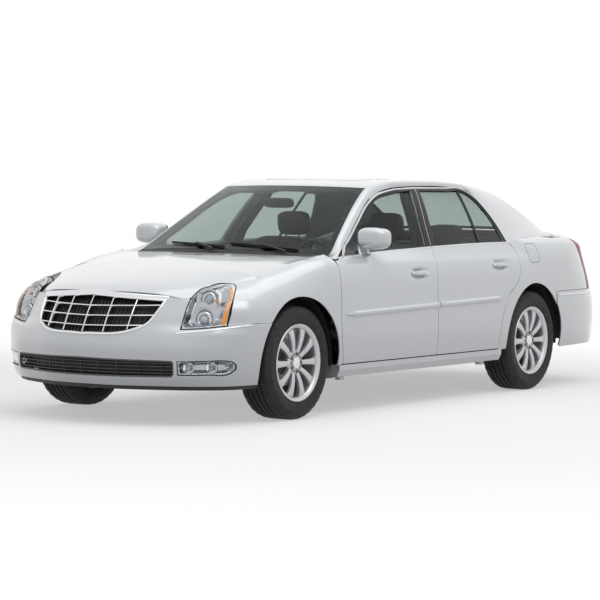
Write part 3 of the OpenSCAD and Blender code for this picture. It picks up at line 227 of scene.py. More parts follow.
# The rear corners draw in a little more than the solids do, as the photograph shows
CORNER = Curve([
    (290, 12), (420, 18), (560, 22), (690, 38), (850, 58), (939, 62), (1000, 46), (1060, 22), (1100, 10),
])


def tuck(t, z):
    p, a = plan(t), np.abs(t)
    x = p[..., 0]
    side = SIDE_LEAN(z) + 100 * ease(-200, FRONT - 712, x) * ease(BELT - 90, BELT + 20, z)
    over = np.where(z > WAIST, upper_tuck(x, np.abs(p[..., 1]), z), side)
    blend = np.maximum(ease(FRONT - 440, FRONT - 250, x), ease(REAR + 160, REAR - 60, x))
    flank = mix(side, over, blend)
    step = 22 * ease(540, 620, z) * ease(1.5, 3, a) * ease(5, 4, a)
    nose = mix(NOSE_LEAN(z), flank, ease(2.6, 4.4, a)) + step
    tail = mix(flank, TAIL_LEAN(z), ease(12.6, 13.8, a))
    tail = tail + CORNER(z) * ease(10.9, 12.5, a) * ease(15.4, 13.6, a)
    return np.where(a < 5, nose, np.where(a > 11, tail, flank))


def skin(t, z, depth=0.0):
    t, z = np.broadcast_arrays(np.asarray(t, float), np.asarray(z, float))
    d = (tuck(t, z) + depth)[..., None]
    p = plan(t) - plan_normal(t) * d
    return np.stack([p[..., 0], p[..., 1], z], -1)


def unit(v):
    return v / np.maximum(np.linalg.norm(v, axis=-1, keepdims=True), 1e-9)


def skin_normal(t, z, depth=None):
    """Outward normal of the skin, with the depth given as a function of t and z where it isn't even."""
    d = depth or (lambda a, b: 0.0)
    du = skin(t + 0.01, z, d(t + 0.01, z)) - skin(t - 0.01, z, d(t - 0.01, z))
    dv = skin(t, z + 1, d(t, z + 1)) - skin(t, z - 1, d(t, z - 1))
    n = unit(np.cross(du, dv))
    out = plan_normal(t)
    return n * np.where((n[..., :2] * out).sum(-1) < 0, -1.0, 1.0)[..., None]


def halve(test, low, high, steps=40):
    """Where a rising test turns true, between low and high."""
    low, high = np.array(low, float), np.array(high, float)
    for _ in range(steps):
        m = (low + high) / 2
        hit = test(m)
        low, high = np.where(hit, low, m), np.where(hit, m, high)
    return (low + high) / 2


def side_map(points, low=3.5, high=END):
    """Side view points (x, z) as (distance round the plan, z) on the left side."""
    q = np.asarray(points, float)
    full = np.full(len(q), 1.0)
    t = halve(lambda m: skin(m, q[:, 1])[:, 0] < q[:, 0], full * low, full * high)
    return np.column_stack([s_of_t(t), q[:, 1]])


def front_map(points):
    """Front view points (y, z) as (distance round the plan, z) on the nose."""
    q = np.asarray(points, float)
    full = np.full(len(q), 1.0)
    t = halve(lambda m: skin(m, q[:, 1])[:, 1] > np.abs(q[:, 0]), full * 0, full * 5.5)
    return np.column_stack([s_of_t(t) * np.sign(q[:, 0]), q[:, 1]])


def rear_map(points):
    """Rear view points (y, z) as (distance round the plan, z) on the left half of the tail."""
    q = np.asarray(points, float)
    full = np.full(len(q), 1.0)
    t = halve(lambda m: skin(m, q[:, 1])[:, 1] < q[:, 0], full * 12.5, full * END)
    return np.column_stack([s_of_t(t), q[:, 1]])




# Mesh tools
def mesh_of(name, verts, faces, normals=None, sharp=38):
    """A mesh from points in millimetres."""
    me = bpy.data.meshes.new(name)
    me.from_pydata((np.asarray(verts, float) / 1000).tolist(), [],
                   [tuple(int(i) for i in f) for f in faces])
    me.validate()
    me.shade_smooth()
    if normals is not None:
        me.normals_split_custom_set_from_vertices(np.asarray(normals, float).tolist())
    elif sharp:
        me.set_sharp_from_angle(angle=math.radians(sharp))
    return me


def make(name, verts, faces, mat, body, slot, normals=None, place=None, sharp=38):
    """A piece from points in millimetres, which rides on a body and takes the given material. The slot is not
    used.
    """
    return put(name, mesh_of(name, verts, faces, normals, sharp), mat, body, place)


def put(name, me, mat, body, place=None):
    if mat and not me.materials:
        me.materials.append(mat)
    ob = bpy.data.objects.new(name, me)
    bpy.context.scene.collection.objects.link(ob)
    if place is not None:
        ob.matrix_world = place
    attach(ob, body)
    return ob


def inside(points, loops):
    """Which points lie inside an odd number of the closed loops."""
    hit = np.zeros(len(points), bool)
    x, y = points[:, :1], points[:, 1:]
    for loop in loops:
        a, b = loop, np.roll(loop, -1, axis=0)
        cross = (a[:, 1] > y) != (b[:, 1] > y)
        with np.errstate(divide="ignore", invalid="ignore"):
            at = a[:, 0] + (y - a[:, 1]) * (b[:, 0] - a[:, 0]) / (b[:, 1] - a[:, 1])
        hit ^= (np.where(cross, x < at, False).sum(1) % 2).astype(bool)
    return hit


def dense(points, step, corners=None, closed=True):
    """A line through the points, sampled at about the step. It bends smoothly except at the corners."""
    p = np.asarray(points, float)
    n = len(p)
    corners = set(range(n)) if corners is None else {c % n for c in corners}
    out = []
    for i in range(n if closed else n - 1):
        a, b = p[i], p[(i + 1) % n]
        length = np.linalg.norm(b - a)
        if length < 1e-6:
            continue
        ends = []
        for j, mine in ((i, b - a), ((i + 1) % n, b - a)):
            plain = j in corners or (not closed and j in (0, n - 1))
            if plain:
                ends.append(mine)
            else:
                before, after = p[j] - p[j - 1], p[(j + 1) % n] - p[j]
                d0, d1 = np.linalg.norm(before), np.linalg.norm(after)
                ends.append((before / d0 * d1 + after / d1 * d0) / (d0 + d1) * length)
        for f in np.arange(max(1, round(length / step))) / max(1, round(length / step)):
            h = f * f * (3 - 2 * f)
            out.append(a + (b - a) * h + ends[0] * (f**3 - 2 * f**2 + f) + ends[1] * (f**3 - f**2))
    if not closed:
        out.append(p[-1])
    return np.array(out)


def fill(loops, step):
    """Triangles that fill the area between closed loops in a flat plane: (points, triangles)."""
    rim = np.vstack(loops)
    edges, first = [], 0
    for loop in loops:
        edges += [(first + i, first + (i + 1) % len(loop)) for i in range(len(loop))]
        first += len(loop)
    low, high = rim.min(0), rim.max(0)
    rows = np.arange(low[1] + step / 2, high[1], step * 0.87)
    grid = np.array([
        (x, z) for j,
        z in enumerate(rows) for x in np.arange(low[0] + step * (0.25 + 0.5 * (j % 2)), high[0], step)
    ])
    if len(grid):
        grid = grid[inside(grid, loops)]
        away = np.array([np.min(((rim - g) ** 2).sum(1)) for g in grid]) if len(grid) else np.zeros(0)
        grid = grid[away > (0.6 * step) ** 2]
    points = np.vstack([rim, grid]) if len(grid) else rim
    v, _, f, *_ = delaunay_2d_cdt([Vector(p) for p in points], edges, [], 0, 1e-4)
    v, f = np.array([tuple(q) for q in v]), np.array([t for t in f if len(t) == 3])
    f = f[inside(v[f].mean(1), loops)]
    used, f = np.unique(f, return_inverse=True)
    return v[used], f.reshape(-1, 3)


def sheet_solid(points, normals, tris, thick, edge):
    """A closed panel below a surface, with a rounded rim that stands out by the edge radius."""
    p, n = np.asarray(points, float), np.asarray(normals, float)
    tris = np.asarray(tris)
    a, b, c = p[tris[:, 0]], p[tris[:, 1]], p[tris[:, 2]]
    flip = (np.cross(b - a, c - a) * n[tris].sum(1)).sum(1).sum() < 0
    if flip:
        tris = tris[:, ::-1]
    count = len(p)
    sides = np.vstack([tris[:, [0, 1]], tris[:, [1, 2]], tris[:, [2, 0]]])
    seen = {(int(i), int(j)) for i, j in sides}
    rim = [(i, j) for i, j in seen if (j, i) not in seen]
    out = np.zeros_like(p)
    for i, j in sorted(rim):
        w = unit(np.cross(p[j] - p[i], n[i] + n[j]))
        out[i] += w
        out[j] += w
    at = sorted({i for e in rim for i in e})
    place = {v: k for k, v in enumerate(at)}
    w = out[at]
    length = np.linalg.norm(w, axis=1, keepdims=True)
    w = w / np.maximum(length, 1e-9) * np.minimum(2 / np.maximum(length, 0.5), 1.6)
    top, nn = p[at], n[at]
    deep = np.broadcast_to(np.asarray(thick, float), (count,))[:, None]
    r1 = top + w * edge * 0.7071 - nn * edge * 0.2929
    r2 = top + w * edge - nn * edge
    back = p - n * deep
    back[at] = top + w * edge - nn * deep[at]
    m = len(at)
    verts = np.vstack([p, r1, r2, back])
    vn = np.vstack([n, unit(nn + w), unit(w), -n])
    faces = [tuple(t) for t in tris]
    faces += [tuple(t[::-1] + count + 2 * m) for t in tris]
    for i, j in sorted(rim):
        a, b = place[i], place[j]
        faces.append((j, i, count + a, count + b))
        faces.append((count + b, count + a, count + m + a, count + m + b))
        faces.append((count + m + b, count + m + a, count + 2 * m + i, count + 2 * m + j))
    return verts, faces, vn


def flipped(verts, faces, normals):
    """The mirror image on the car's other side."""
    m = np.array([1, -1, 1])
    return verts * m, [tuple(f[::-1]) for f in faces], None if normals is None else normals * m


SIDES = {"left": 1, "right": -1}


def on_sides(name, solid, mat, body, slot, **more):
    """A piece and its mirror image, one on each side of the car."""
    made = []
    for tag, side in SIDES.items():
        v, f, n = solid if side > 0 else flipped(*solid)
        made.append(make(f"{name}_{tag}", v, f, mat, body.replace("*", tag), slot, normals=n, **more))
    return made


def panel(name, loops, mat, body, slot, step=18, depth=None, thick=14, edge=2.0, z_of=None, both=True):
    """A panel on the body skin, from loops of (distance round the plan, height)."""
    flat, tris = fill(loops, step)
    t = t_of_s(flat[:, 0])
    z = flat[:, 1] if z_of is None else z_of(t, flat[:, 1])
    deep = depth or (lambda a, b: 0.0)
    p, n = skin(t, z, deep(t, z)), skin_normal(t, z, depth)
    if callable(thick):
        thick = thick(flat, t, z)
    solid = sheet_solid(p, n, tris, thick, edge)
    if not both:
        return make(name, *solid[:2], mat, body, slot, normals=solid[2])
    return on_sides(name, solid, mat, body, slot)


def grid_tris(m, n):
    i, j = np.meshgrid(np.arange(m - 1), np.arange(n - 1), indexing="ij")
    a = (i * n + j).ravel()
    return np.vstack([np.column_stack([a, a + 1, a + n + 1]), np.column_stack([a, a + n + 1, a + n])])


def grid_normals(g, toward):
    n = unit(np.cross(np.gradient(g, axis=0), np.gradient(g, axis=1)))
    return n * np.where((n * toward).sum(-1, keepdims=True) < 0, -1.0, 1.0)


def patch(name, g, toward, mat, body, slot, thick=14, edge=2.0, both=False):
    """A panel from a grid of points, whose outer side faces the given way."""
    g = np.asarray(g, float)
    n = grid_normals(g, np.asarray(toward, float))
    solid = sheet_solid(g.reshape(-1, 3), n.reshape(-1, 3), grid_tris(*g.shape[:2]), thick, edge)
    if not both:
        return make(name, *solid[:2], mat, body, slot, normals=solid[2])
    return on_sides(name, solid, mat, body, slot)


def loft(rings, close_ends=True, round_trip=False):
    """Points and faces of a tube through rings of points."""
    rings = np.asarray(rings, float)
    m, n = rings.shape[:2]
    faces = []
    for i in range(m if round_trip else m - 1):
        for j in range(n):
            a, b = i * n + j, i * n + (j + 1) % n
            c, d = ((i + 1) % m) * n + (j + 1) % n, ((i + 1) % m) * n + j
            faces.append((a, b, c, d))
    if close_ends and not round_trip:
        faces.append(tuple(range(n))[::-1])
        faces.append(tuple(range((m - 1) * n, m * n)))
    return rings.reshape(-1, 3), faces


def outward(verts, faces):
    """Turns all faces of a closed form outward."""
    v = np.asarray(verts, float)
    total = 0.0
    for f in faces:
        a = v[f[0]]
        for i in range(1, len(f) - 1):
            total += np.dot(a, np.cross(v[f[i]], v[f[i + 1]]))
    return faces if total > 0 else [tuple(f[::-1]) for f in faces]


ROUND_STRIP = [(-1, -0.6), (-1, 0.35), (-0.75, 0.85), (-0.3, 1), (0.3, 1), (0.75, 0.85), (1, 0.35),
               (1, -0.6)]
TUBE = [(math.cos(a), math.sin(a)) for a in np.arange(12) * math.pi / 6]


def sweep(path, up, width, height, profile=ROUND_STRIP, closed=False):
    """A bar along a path: points and faces. The profile's first axis lies across it, the second along up."""
    path, up = np.asarray(path, float), np.asarray(up, float)
    if closed:
        along = np.roll(path, -1, axis=0) - np.roll(path, 1, axis=0)
    else:
        along = np.gradient(path, axis=0)
    across = unit(np.cross(along, up))
    up = unit(np.cross(across, along))
    w = np.broadcast_to(np.asarray(width, float) / 2, (len(path),))[:, None]
    h = np.broadcast_to(np.asarray(height, float), (len(path),))[:, None]
    rings = np.stack([path + across * a * w + up * b * h for a, b in profile], 1)
    verts, faces = loft(rings, round_trip=closed)
    return verts, outward(verts - verts.mean(0), faces)


def strip(name, line, width, height, mat, body, slot, depth=0.0, both=True, mapped=None,
          profile=ROUND_STRIP):
    """A bar along a side view line of (x, z) points on the skin, or along a line mapped already."""
    q = side_map(line) if mapped is None else mapped
    t = t_of_s(q[:, 0])
    p, n = skin(t, q[:, 1], depth), skin_normal(t, q[:, 1])
    v, f = sweep(p, n, width, height, profile)
    if not both:
        return make(name, v, f, mat, body, slot)
    return on_sides(name, (v, f, None), mat, body, slot)


def lathe(profile, n=72, axis="y", arc=1.0):
    """A turned form from (radius, along) points. A closed profile that keeps clear of the axis gives a ring."""
    a = np.arange(n) * 2 * math.pi * arc / n
    rings = []
    for k in a:
        if axis == "y":
            rings.append([(r * math.cos(k), h, r * math.sin(k)) for r, h in profile])
        else:
            rings.append([(r * math.cos(k), r * math.sin(k), h) for r, h in profile])
    v, f = loft(np.array(rings), round_trip=True)
    return v, outward(v, f)


def joined(parts):
    """Several (points, faces) as one."""
    verts, faces, first = [], [], 0
    for v, f in parts:
        verts.append(np.asarray(v, float))
        faces += [tuple(int(i) + first for i in q) for q in f]
        first += len(v)
    return np.vstack(verts), faces


def rounded_box(size, power=6.0, n=20):
    """A soft box round the origin, whose faces bulge slightly."""
    lon = np.linspace(-math.pi, math.pi, 2 * n, endpoint=False)
    lat = np.linspace(-math.pi / 2, math.pi / 2, n + 1)[1:-1]
    e = 2 / power

    def p(v):
        return np.sign(v) * np.abs(v) ** e

    lo, la = np.meshgrid(lon, lat)
    g = np.stack([p(np.cos(la)) * p(np.cos(lo)), p(np.cos(la)) * p(np.sin(lo)), p(np.sin(la))], -1)
    g = g * np.asarray(size, float) / 2
    v, f = loft(g)
    return v, outward(v, f)


def moved(part, at=(0, 0, 0), turn=None):
    """Points and faces after a turn (axis, degrees) and a shift."""
    v, f = part
    if turn:
        v = v @ np.array(Matrix.Rotation(math.radians(turn[1]), 3, turn[0])).T
    return v + np.asarray(at, float), f


def mirrored_pair(name, part, mat, body, slot, **more):
    return on_sides(name, (*part, None), mat, body, slot, **more)


# Materials
def texture(tree, place, kind, scale):
    """A pattern's height or factor: grain, cells, weave, rings or brushed lines."""
    if kind == "grain":
        n = tree.nodes.new("ShaderNodeTexNoise")
        n.inputs["Scale"].default_value = scale
        n.inputs["Detail"].default_value = 4.0
        out = n.outputs["Fac"]
    elif kind == "cells":
        n = tree.nodes.new("ShaderNodeTexVoronoi")
        n.inputs["Scale"].default_value = scale
        out = n.outputs["Distance"]
    elif kind == "weave":
        waves = []
        for axis in ("X", "Z"):
            w = tree.nodes.new("ShaderNodeTexWave")
            w.bands_direction = axis
            w.inputs["Scale"].default_value = scale
            w.inputs["Distortion"].default_value = 0.6
            tree.links.new(place, w.inputs["Vector"])
            waves.append(w.outputs["Fac"])
        n = tree.nodes.new("ShaderNodeMath")
        n.operation = "MULTIPLY"
        tree.links.new(waves[0], n.inputs[0])
        tree.links.new(waves[1], n.inputs[1])
        return n.outputs[0]
    else:
        n = tree.nodes.new("ShaderNodeTexWave")
        n.wave_type = "RINGS" if kind == "rings" else "BANDS"
        if kind == "rings":
            n.rings_direction = "Y"
        n.inputs["Scale"].default_value = scale
        n.inputs["Distortion"].default_value = 0.4
        out = n.outputs["Fac"]
    tree.links.new(place, n.inputs["Vector"])
    return out


def material(name, color, rough, metal=0.0, tint=None, wear=None, bump=None, **sockets):
    """A shader whose colour, roughness and relief vary.

    tint is (second colour, pattern, scale), wear is (second roughness, scale), and bump is (pattern, scale,
    strength, height in metres).
    """
    m = bpy.data.materials.new(name)
    m.use_nodes = True
    tree = m.node_tree
    shader = tree.nodes["Principled BSDF"]
    shader.inputs["Base Color"].default_value = (*color, 1)
    shader.inputs["Roughness"].default_value = rough
    shader.inputs["Metallic"].default_value = metal
    for key, value in sockets.items():
        shader.inputs[key.replace("_", " ").title().replace("Ior", "IOR")].default_value = value
    place = tree.nodes.new("ShaderNodeTexCoord").outputs["Object"]
    if tint:
        n = tree.nodes.new("ShaderNodeMix")
        n.data_type = "RGBA"
        n.inputs[6].default_value = (*color, 1)
        n.inputs[7].default_value = (*tint[0], 1)
        tree.links.new(texture(tree, place, tint[1], tint[2]), n.inputs[0])
        tree.links.new(n.outputs[2], shader.inputs["Base Color"])
    if wear:
        n = tree.nodes.new("ShaderNodeMapRange")
        n.inputs["From Min"].default_value = 0.3
        n.inputs["From Max"].default_value = 0.7
        n.inputs["To Min"].default_value = rough
        n.inputs["To Max"].default_value = wear[0]
        tree.links.new(texture(tree, place, "grain", wear[1]), n.inputs["Value"])
        tree.links.new(n.outputs["Result"], shader.inputs["Roughness"])
    if bump:
        n = tree.nodes.new("ShaderNodeBump")
        n.inputs["Strength"].default_value = bump[2]
        n.inputs["Distance"].default_value = bump[3]
        tree.links.new(texture(tree, place, bump[0], bump[1]), n.inputs["Height"])
        tree.links.new(n.outputs["Normal"], shader.inputs["Normal"])
    return m


PAINT = material("silver_paint", (0.685, 0.708, 0.738), 0.22, 0.2,
                 tint=((0.735, 0.757, 0.785), "grain", 1500),
                 wear=(0.26, 900), coat_weight=1.0, coat_roughness=0.02)
CHROME = material("chrome", (0.72, 0.73, 0.745), 0.05, 1.0, wear=(0.11, 60))
ALLOY = material("cast_alloy", (0.62, 0.63, 0.645), 0.3, 0.75, tint=((0.56, 0.57, 0.585), "grain", 700),
                 wear=(0.4, 300), bump=("grain", 1400, 0.05, 0.0004), coat_weight=0.5, coat_roughness=0.1)
BLACK = material("black_plastic", (0.014, 0.014, 0.015), 0.42, tint=((0.022, 0.022, 0.023), "grain", 40),
                 wear=(0.6, 200), bump=("grain", 1600, 0.15, 0.0005))
SLAT = material("satin_dark", (0.15, 0.15, 0.155), 0.3, 0.6, tint=((0.06, 0.06, 0.063), "grain", 80),
                wear=(0.42, 200))
GLOSS = material("gloss_black", (0.007, 0.007, 0.008), 0.2, wear=(0.3, 80), specular_ior_level=0.3)
RUBBER = material("tyre_rubber", (0.012, 0.012, 0.0125), 0.62, tint=((0.022, 0.022, 0.022), "grain", 60),
                  wear=(0.8, 25), bump=("grain", 900, 0.25, 0.0006))
SEAL = material("seal_rubber", (0.009, 0.009, 0.0095), 0.55, wear=(0.7, 300),
                bump=("grain", 1200, 0.2, 0.0004))
GLASS = material("tinted_glass", (0.56, 0.63, 0.605), 0.0, transmission_weight=1.0, ior=1.2,
                 wear=(0.012, 8))
CLEAR = material("clear_lens", (0.97, 0.975, 0.98), 0.0, transmission_weight=1.0, ior=1.12, wear=(0.02, 30))
BULB = material("projector_lens", (0.75, 0.8, 0.86), 0.02, 0.0, transmission_weight=0.55, ior=1.5,
                coat_weight=1.0, bump=("rings", 120, 0.1, 0.0008))
AMBER = material("amber_lens", (0.85, 0.33, 0.035), 0.18, tint=((0.72, 0.24, 0.02), "cells", 260),
                 bump=("cells", 260, 0.35, 0.001), coat_weight=0.8)
RED = material("red_lens", (0.33, 0.006, 0.009), 0.3, tint=((0.22, 0.003, 0.005), "cells", 180),
               bump=("cells", 180, 0.25, 0.001), specular_ior_level=0.12)
BOWL = material("reflector", (0.47, 0.48, 0.5), 0.16, 1.0, wear=(0.2, 90), bump=("cells", 70, 0.12, 0.002))
LEATHER = material("dark_leather", (0.05, 0.051, 0.054), 0.46, tint=((0.038, 0.038, 0.04), "grain", 30),
                   wear=(0.6, 60), bump=("cells", 420, 0.35, 0.0012))
CARPET = material("carpet", (0.03, 0.03, 0.032), 0.95, tint=((0.055, 0.055, 0.058), "grain", 900),
                  bump=("grain", 1300, 0.8, 0.003))
DASH = material("moulded_trim", (0.032, 0.033, 0.035), 0.62, tint=((0.045, 0.046, 0.048), "grain", 20),
                bump=("cells", 700, 0.3, 0.0008))
WOOD = material("wood_veneer", (0.16, 0.062, 0.022), 0.22, tint=((0.055, 0.02, 0.008), "brushed", 14),
                coat_weight=0.8)
LINING = material("headlining", (0.4, 0.395, 0.38), 0.9, tint=((0.34, 0.335, 0.32), "grain", 700),
                  bump=("weave", 260, 0.4, 0.001))
STEEL = material("cast_steel", (0.22, 0.22, 0.225), 0.5, 0.85, tint=((0.14, 0.135, 0.13), "grain", 45),
                 wear=(0.7, 120), bump=("grain", 350, 0.25, 0.001))
DISC = material("brake_disc", (0.33, 0.33, 0.335), 0.3, 1.0, tint=((0.24, 0.235, 0.23), "rings", 120),
                wear=(0.42, 60), bump=("rings", 240, 0.1, 0.0004))
UNDER = material("underbody", (0.018, 0.018, 0.019), 0.8, tint=((0.032, 0.031, 0.03), "grain", 14),
                 bump=("grain", 120, 0.5, 0.003))
MIRROR = material("mirror_glass", (0.8, 0.83, 0.85), 0.02, 1.0, wear=(0.04, 30))
PLATE = material("blank_plate", (0.62, 0.63, 0.64), 0.35, tint=((0.57, 0.58, 0.59), "grain", 30),
                 bump=("grain", 500, 0.05, 0.0004))
SCREEN_GLOW = material("display", (0.012, 0.016, 0.022), 0.1, tint=((0.02, 0.03, 0.04), "grain", 12),
                       coat_weight=0.6)

for node_name, finish in {
    "floor_pan": UNDER, "pillars": DASH, "cowl": BLACK, "engine": STEEL, "front_carrier": UNDER,
    "rear_carrier": UNDER, "boot_trim": CARPET, "parcel_shelf": CARPET, "door_hinges": STEEL,
    "front_subframe": STEEL, "rear_suspension": STEEL, "exhaust": STEEL, "wheel_liners": UNDER,
    "front_knuckle_left": STEEL, "front_knuckle_right": STEEL, "air_dam": BLACK, "lower_grille": BLACK,
    "grille": CHROME, "rockers": PAINT,
}.items():
    ob = nodes[node_name]
    ob.data.materials.clear()
    ob.data.materials.append(finish)


def soften(node_name, width, segments=2, angle=35):
    """Rounds the edges of a solid of the frame."""
    ob = nodes[node_name]
    b = ob.modifiers.new("round", "BEVEL")
    b.width, b.segments, b.limit_method = width / 1000, segments, "ANGLE"
    b.angle_limit = math.radians(angle)
    b.use_clamp_overlap = True
    ob.data.shade_smooth()
    b.harden_normals = True




# Outlines of the side panels, seen from the side
def band(f):
    return mix(BELT, RAIL, f)


def moved_line(line, by, first=0, last=None):
    """A line shifted square to itself, to its right seen along it."""
    line = np.asarray(line, float)
    d = np.vstack([line[1] - line[0], line[2:] - line[:-2], line[-1] - line[-2]])
    n = unit(np.column_stack([-d[:, 1], d[:, 0]]))
    return (line + n * by)[first:None if last is None else last + 1]


FRAME_LINE = np.array([
    (FRONT - 469, BELT - 58), (FRONT - 659, BELT - 7), (FRONT - 781, band(0.122)),
    (FRONT - 973, band(0.412)),
    (FRONT - 1188, band(0.734)), (FRONT - 1338, band(0.881)), (FRONT - 1446, band(0.935)),
    (FRONT - 1563, band(0.973)), (-220, RAIL), (-560, RAIL - 2), (REAR + 474, band(0.948)),
    (REAR + 395, band(0.829)), (REAR + 340, band(0.64)), (REAR + 294, band(0.412)), (REAR + 238, BELT + 15),
    (REAR + 20, BELT + 38), (REAR - 280, BELT + 46), (REAR - 606, BELT + 42),
])
FRONT_LEAD = np.array([
    (FRONT - 464, DOOR), (FRONT - 430, 480), (FRONT - 416, 630), (FRONT - 420, 772), (FRONT - 424, 850),
    (FRONT - 432, 930), (FRONT - 438, BELT - 68),
])
SPLIT = 25.0
SPLIT_LINE = np.array([
    (SPLIT - 213, RAIL - SHUT), (SPLIT - 103, band(0.404)), (SPLIT - 50, BELT), (SPLIT, 850), (SPLIT, DOOR),
])
REAR_TRAIL = np.array([
    (REAR + 240, BELT + 2), (REAR + 212, BELT - 22), (REAR + 188, 968), (REAR + 198, 925),
    (REAR + 216, 880),
    (REAR + 230, 820), (REAR + 300, 750), (REAR + 405, 688), (REAR + 462, 600), (REAR + 505, 470),
    (REAR + 528, DOOR),
])
SPLIT_REAR = SPLIT_LINE[::-1] - (SHUT, 0)
TRIM_W, POST_W = 22, 50
OUTLINE = {
    "front": (np.vstack([FRONT_LEAD, moved_line(FRAME_LINE, SHUT, 0, 7), SPLIT_LINE]),
              (0, 6, 7, 14, 15, 19)),
    "rear": (np.vstack([SPLIT_REAR, moved_line(FRAME_LINE, SHUT, 9, 13), [(REAR + 246, BELT + 13)],
                        REAR_TRAIL]),
             (0, 4, 5, 10, 21)),
}


def window(inset):
    """Window outlines, shrunk by an inset."""
    i = SHUT + TRIM_W + inset
    return {
        "front": (np.vstack([
            [(FRONT - 730 - 2 * inset, BELT - 30 + inset)], moved_line(FRAME_LINE, i, 2, 7),
            [(SPLIT - 194 + POST_W + inset, RAIL - i), (SPLIT - 103 + POST_W + inset, band(0.404)),
             (SPLIT - 50 + POST_W + inset, BELT + 5 + inset)],
        ]), (0, 1, 6, 7, 9)),
        "rear": (np.vstack([
            [(SPLIT - 58 - POST_W - inset, BELT + 8 + inset), (SPLIT - 111 - POST_W - inset, band(0.404)),
             (SPLIT - 202 - POST_W - inset, RAIL - i)],
            moved_line(FRAME_LINE, i, 9, 13), [(REAR + 290 + inset, BELT + 22 + inset)],
        ]), (0, 2, 3, 8)),
    }


def door_depth(z):
    return mix(mix(105, 42, ease(BELT - 30, BELT + 30, z)), 20, ease(RAIL - 90, RAIL - 20, z))


def away(points, loop):
    """Distance of each point from the nearest point of a loop."""
    return np.sqrt(np.array([((loop - p) ** 2).sum(1).min() for p in points]))


HANDLES = {"front": (SPLIT + 214, 862), "rear": (REAR + 484, 893)}


def bowl_of(place, deep=17):
    s0 = side_map([place])[0, 0]

    def depth(t, z):
        a = ((s_of_t(t) - s0) / 96) ** 4 + ((z - place[1] - 2) / 33) ** 4
        return deep * np.exp(-np.minimum(a, 20))

    return depth


GLASS_DEPTH = 12
for end, (outline, corners) in OUTLINE.items():
    rim = side_map(dense(outline, 12, corners))
    hole = side_map(dense(*[window(0)[end][0], 12, window(0)[end][1]]))

    def door_thick(flat, t, z, rim=rim):
        x = skin(t, z)[:, 0]
        deep = np.where((x > FRONT - 690) & (z > 890), 18, door_depth(z))
        return mix(18, deep, ease(14, 46, away(flat, rim)))

    doors = panel(f"door_skin_{end}", [rim, hole], PAINT, f"door_{end}_*", "paint", 13,
                  bowl_of(HANDLES[end]), door_thick)
    for side, piece in zip(SIDES, doors):
        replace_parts(piece, f"door_{end}_{side}")
    pane = side_map(dense(window(-6)[end][0], 20, window(-6)[end][1]))
    panes = panel(f"door_glass_{end}", [pane], GLASS, f"door_{end}_*", "glass", 60, lambda t,
                  z: GLASS_DEPTH + 0 * z,
                  4, 0.3)
    for side, piece in zip(SIDES, panes):
        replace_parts(piece, f"glass_{end}_{side}")
    lower = np.array([p for p in outline if p[1] < BELT - 60])
    low, high = lower[:, 0].min() + 62, lower[:, 0].max() - 62
    if end == "rear":
        low = REAR + 300
        card = [(high, DOOR + 70), (high, BELT - 6), (low, BELT - 4), (low, 800), (REAR + 470, 720),
                (REAR + 560, DOOR + 70)]
    else:
        card = [(high - 90, DOOR + 70), (high - 60, 880), (high - 260, BELT - 34), (low - 10, BELT - 8),
                (low, DOOR + 70)]
    panel(f"door_card_{end}", [side_map(dense(card, 16))], DASH, f"door_{end}_*", "dark_plastic", 30,
          lambda t, z: door_depth(np.minimum(z, BELT - 40)) - 6 + 0 * z, 14, 2)

# Hood
X_HOOD = FRONT - 312


def hood_edge_y(x):
    return plan(t_of_x(x))[..., 1] * front_section(x, np.full(np.shape(x), float(EDGE_KEY)))[..., 0]


# The hood's edge keeps clear of the lamps, given as (x, half width)
LAMP_CLEAR = [(2046, 2000), (2050, 714), (2087, 672), (2117, 622), (2160, 596), (2217, 584), (2295, 579),
              (2480, 560)]


def hood_plan(u, k):
    """Place of the hood at a key of its cross section, seen from above."""
    bend = mix(-75, 120, ease(FRONT - 200, HEADER, u))
    e = hood_edge_y(u - 40 * ease(FRONT + 400, HEADER, u)) - 4
    y = e * front_section(u, k)[..., 0] / front_section(u, np.full(np.shape(u), 4.0))[..., 0]
    return u - np.abs(bend) * (y / 760) ** 2 * np.where(bend < 0, 1, 2.35), y


def hood_key(u):
    def over(k):
        x, y = hood_plan(u, k)
        return y > np.interp(x, [a for a, _ in LAMP_CLEAR], [b for _, b in LAMP_CLEAR])

    return halve(over, np.full(np.shape(u), 1.0), np.full(np.shape(u), 4.0))


def hood_point(u, s):
    most = hood_key(u)
    x, y = hood_plan(u, most * np.abs(s))
    k = (np.sqrt((most * s) ** 2 + 0.12) - 0.3464) * 4 / (math.sqrt(16.12) - 0.3464)
    return np.stack([x, np.sign(s) * y, mix(WAIST, HOOD(u), front_section(u, k)[..., 1])], -1)


us, ss = np.meshgrid(np.linspace(HEADER - 6, X_HOOD, 80), np.linspace(1, -1, 81), indexing="ij")

# Fenders, whose upper part is laid out by the keys of the cross section
KEY_STEP = 112.0


def fender_z(t, w):
    x = plan(t)[..., 0]
    k = np.clip(7 - (w - WAIST) / KEY_STEP, 0, 7)
    return np.where(w <= WAIST, w, mix(WAIST, HOOD(x), front_section(x, k)[..., 1]))


def fender_w(q):
    """Heights as places along the cross section."""
    t = t_of_s(q[:, 0])
    low, high = np.full(len(q), float(WAIST)), np.full(len(q), WAIST + 4 * KEY_STEP)
    w = halve(lambda m: fender_z(t, m) > q[:, 1], low, high)
    return np.column_stack([q[:, 0], np.where(q[:, 1] <= WAIST, q[:, 1], w)])


def arch_arc(x, start, end, n=60, r=ARCH):
    a = np.radians(np.linspace(start, end, n))
    return np.column_stack([x + r * np.cos(a), AXLE + r * np.sin(a)])


def arch_angle(z, r=ARCH):
    return math.degrees(math.asin((z - AXLE) / r))


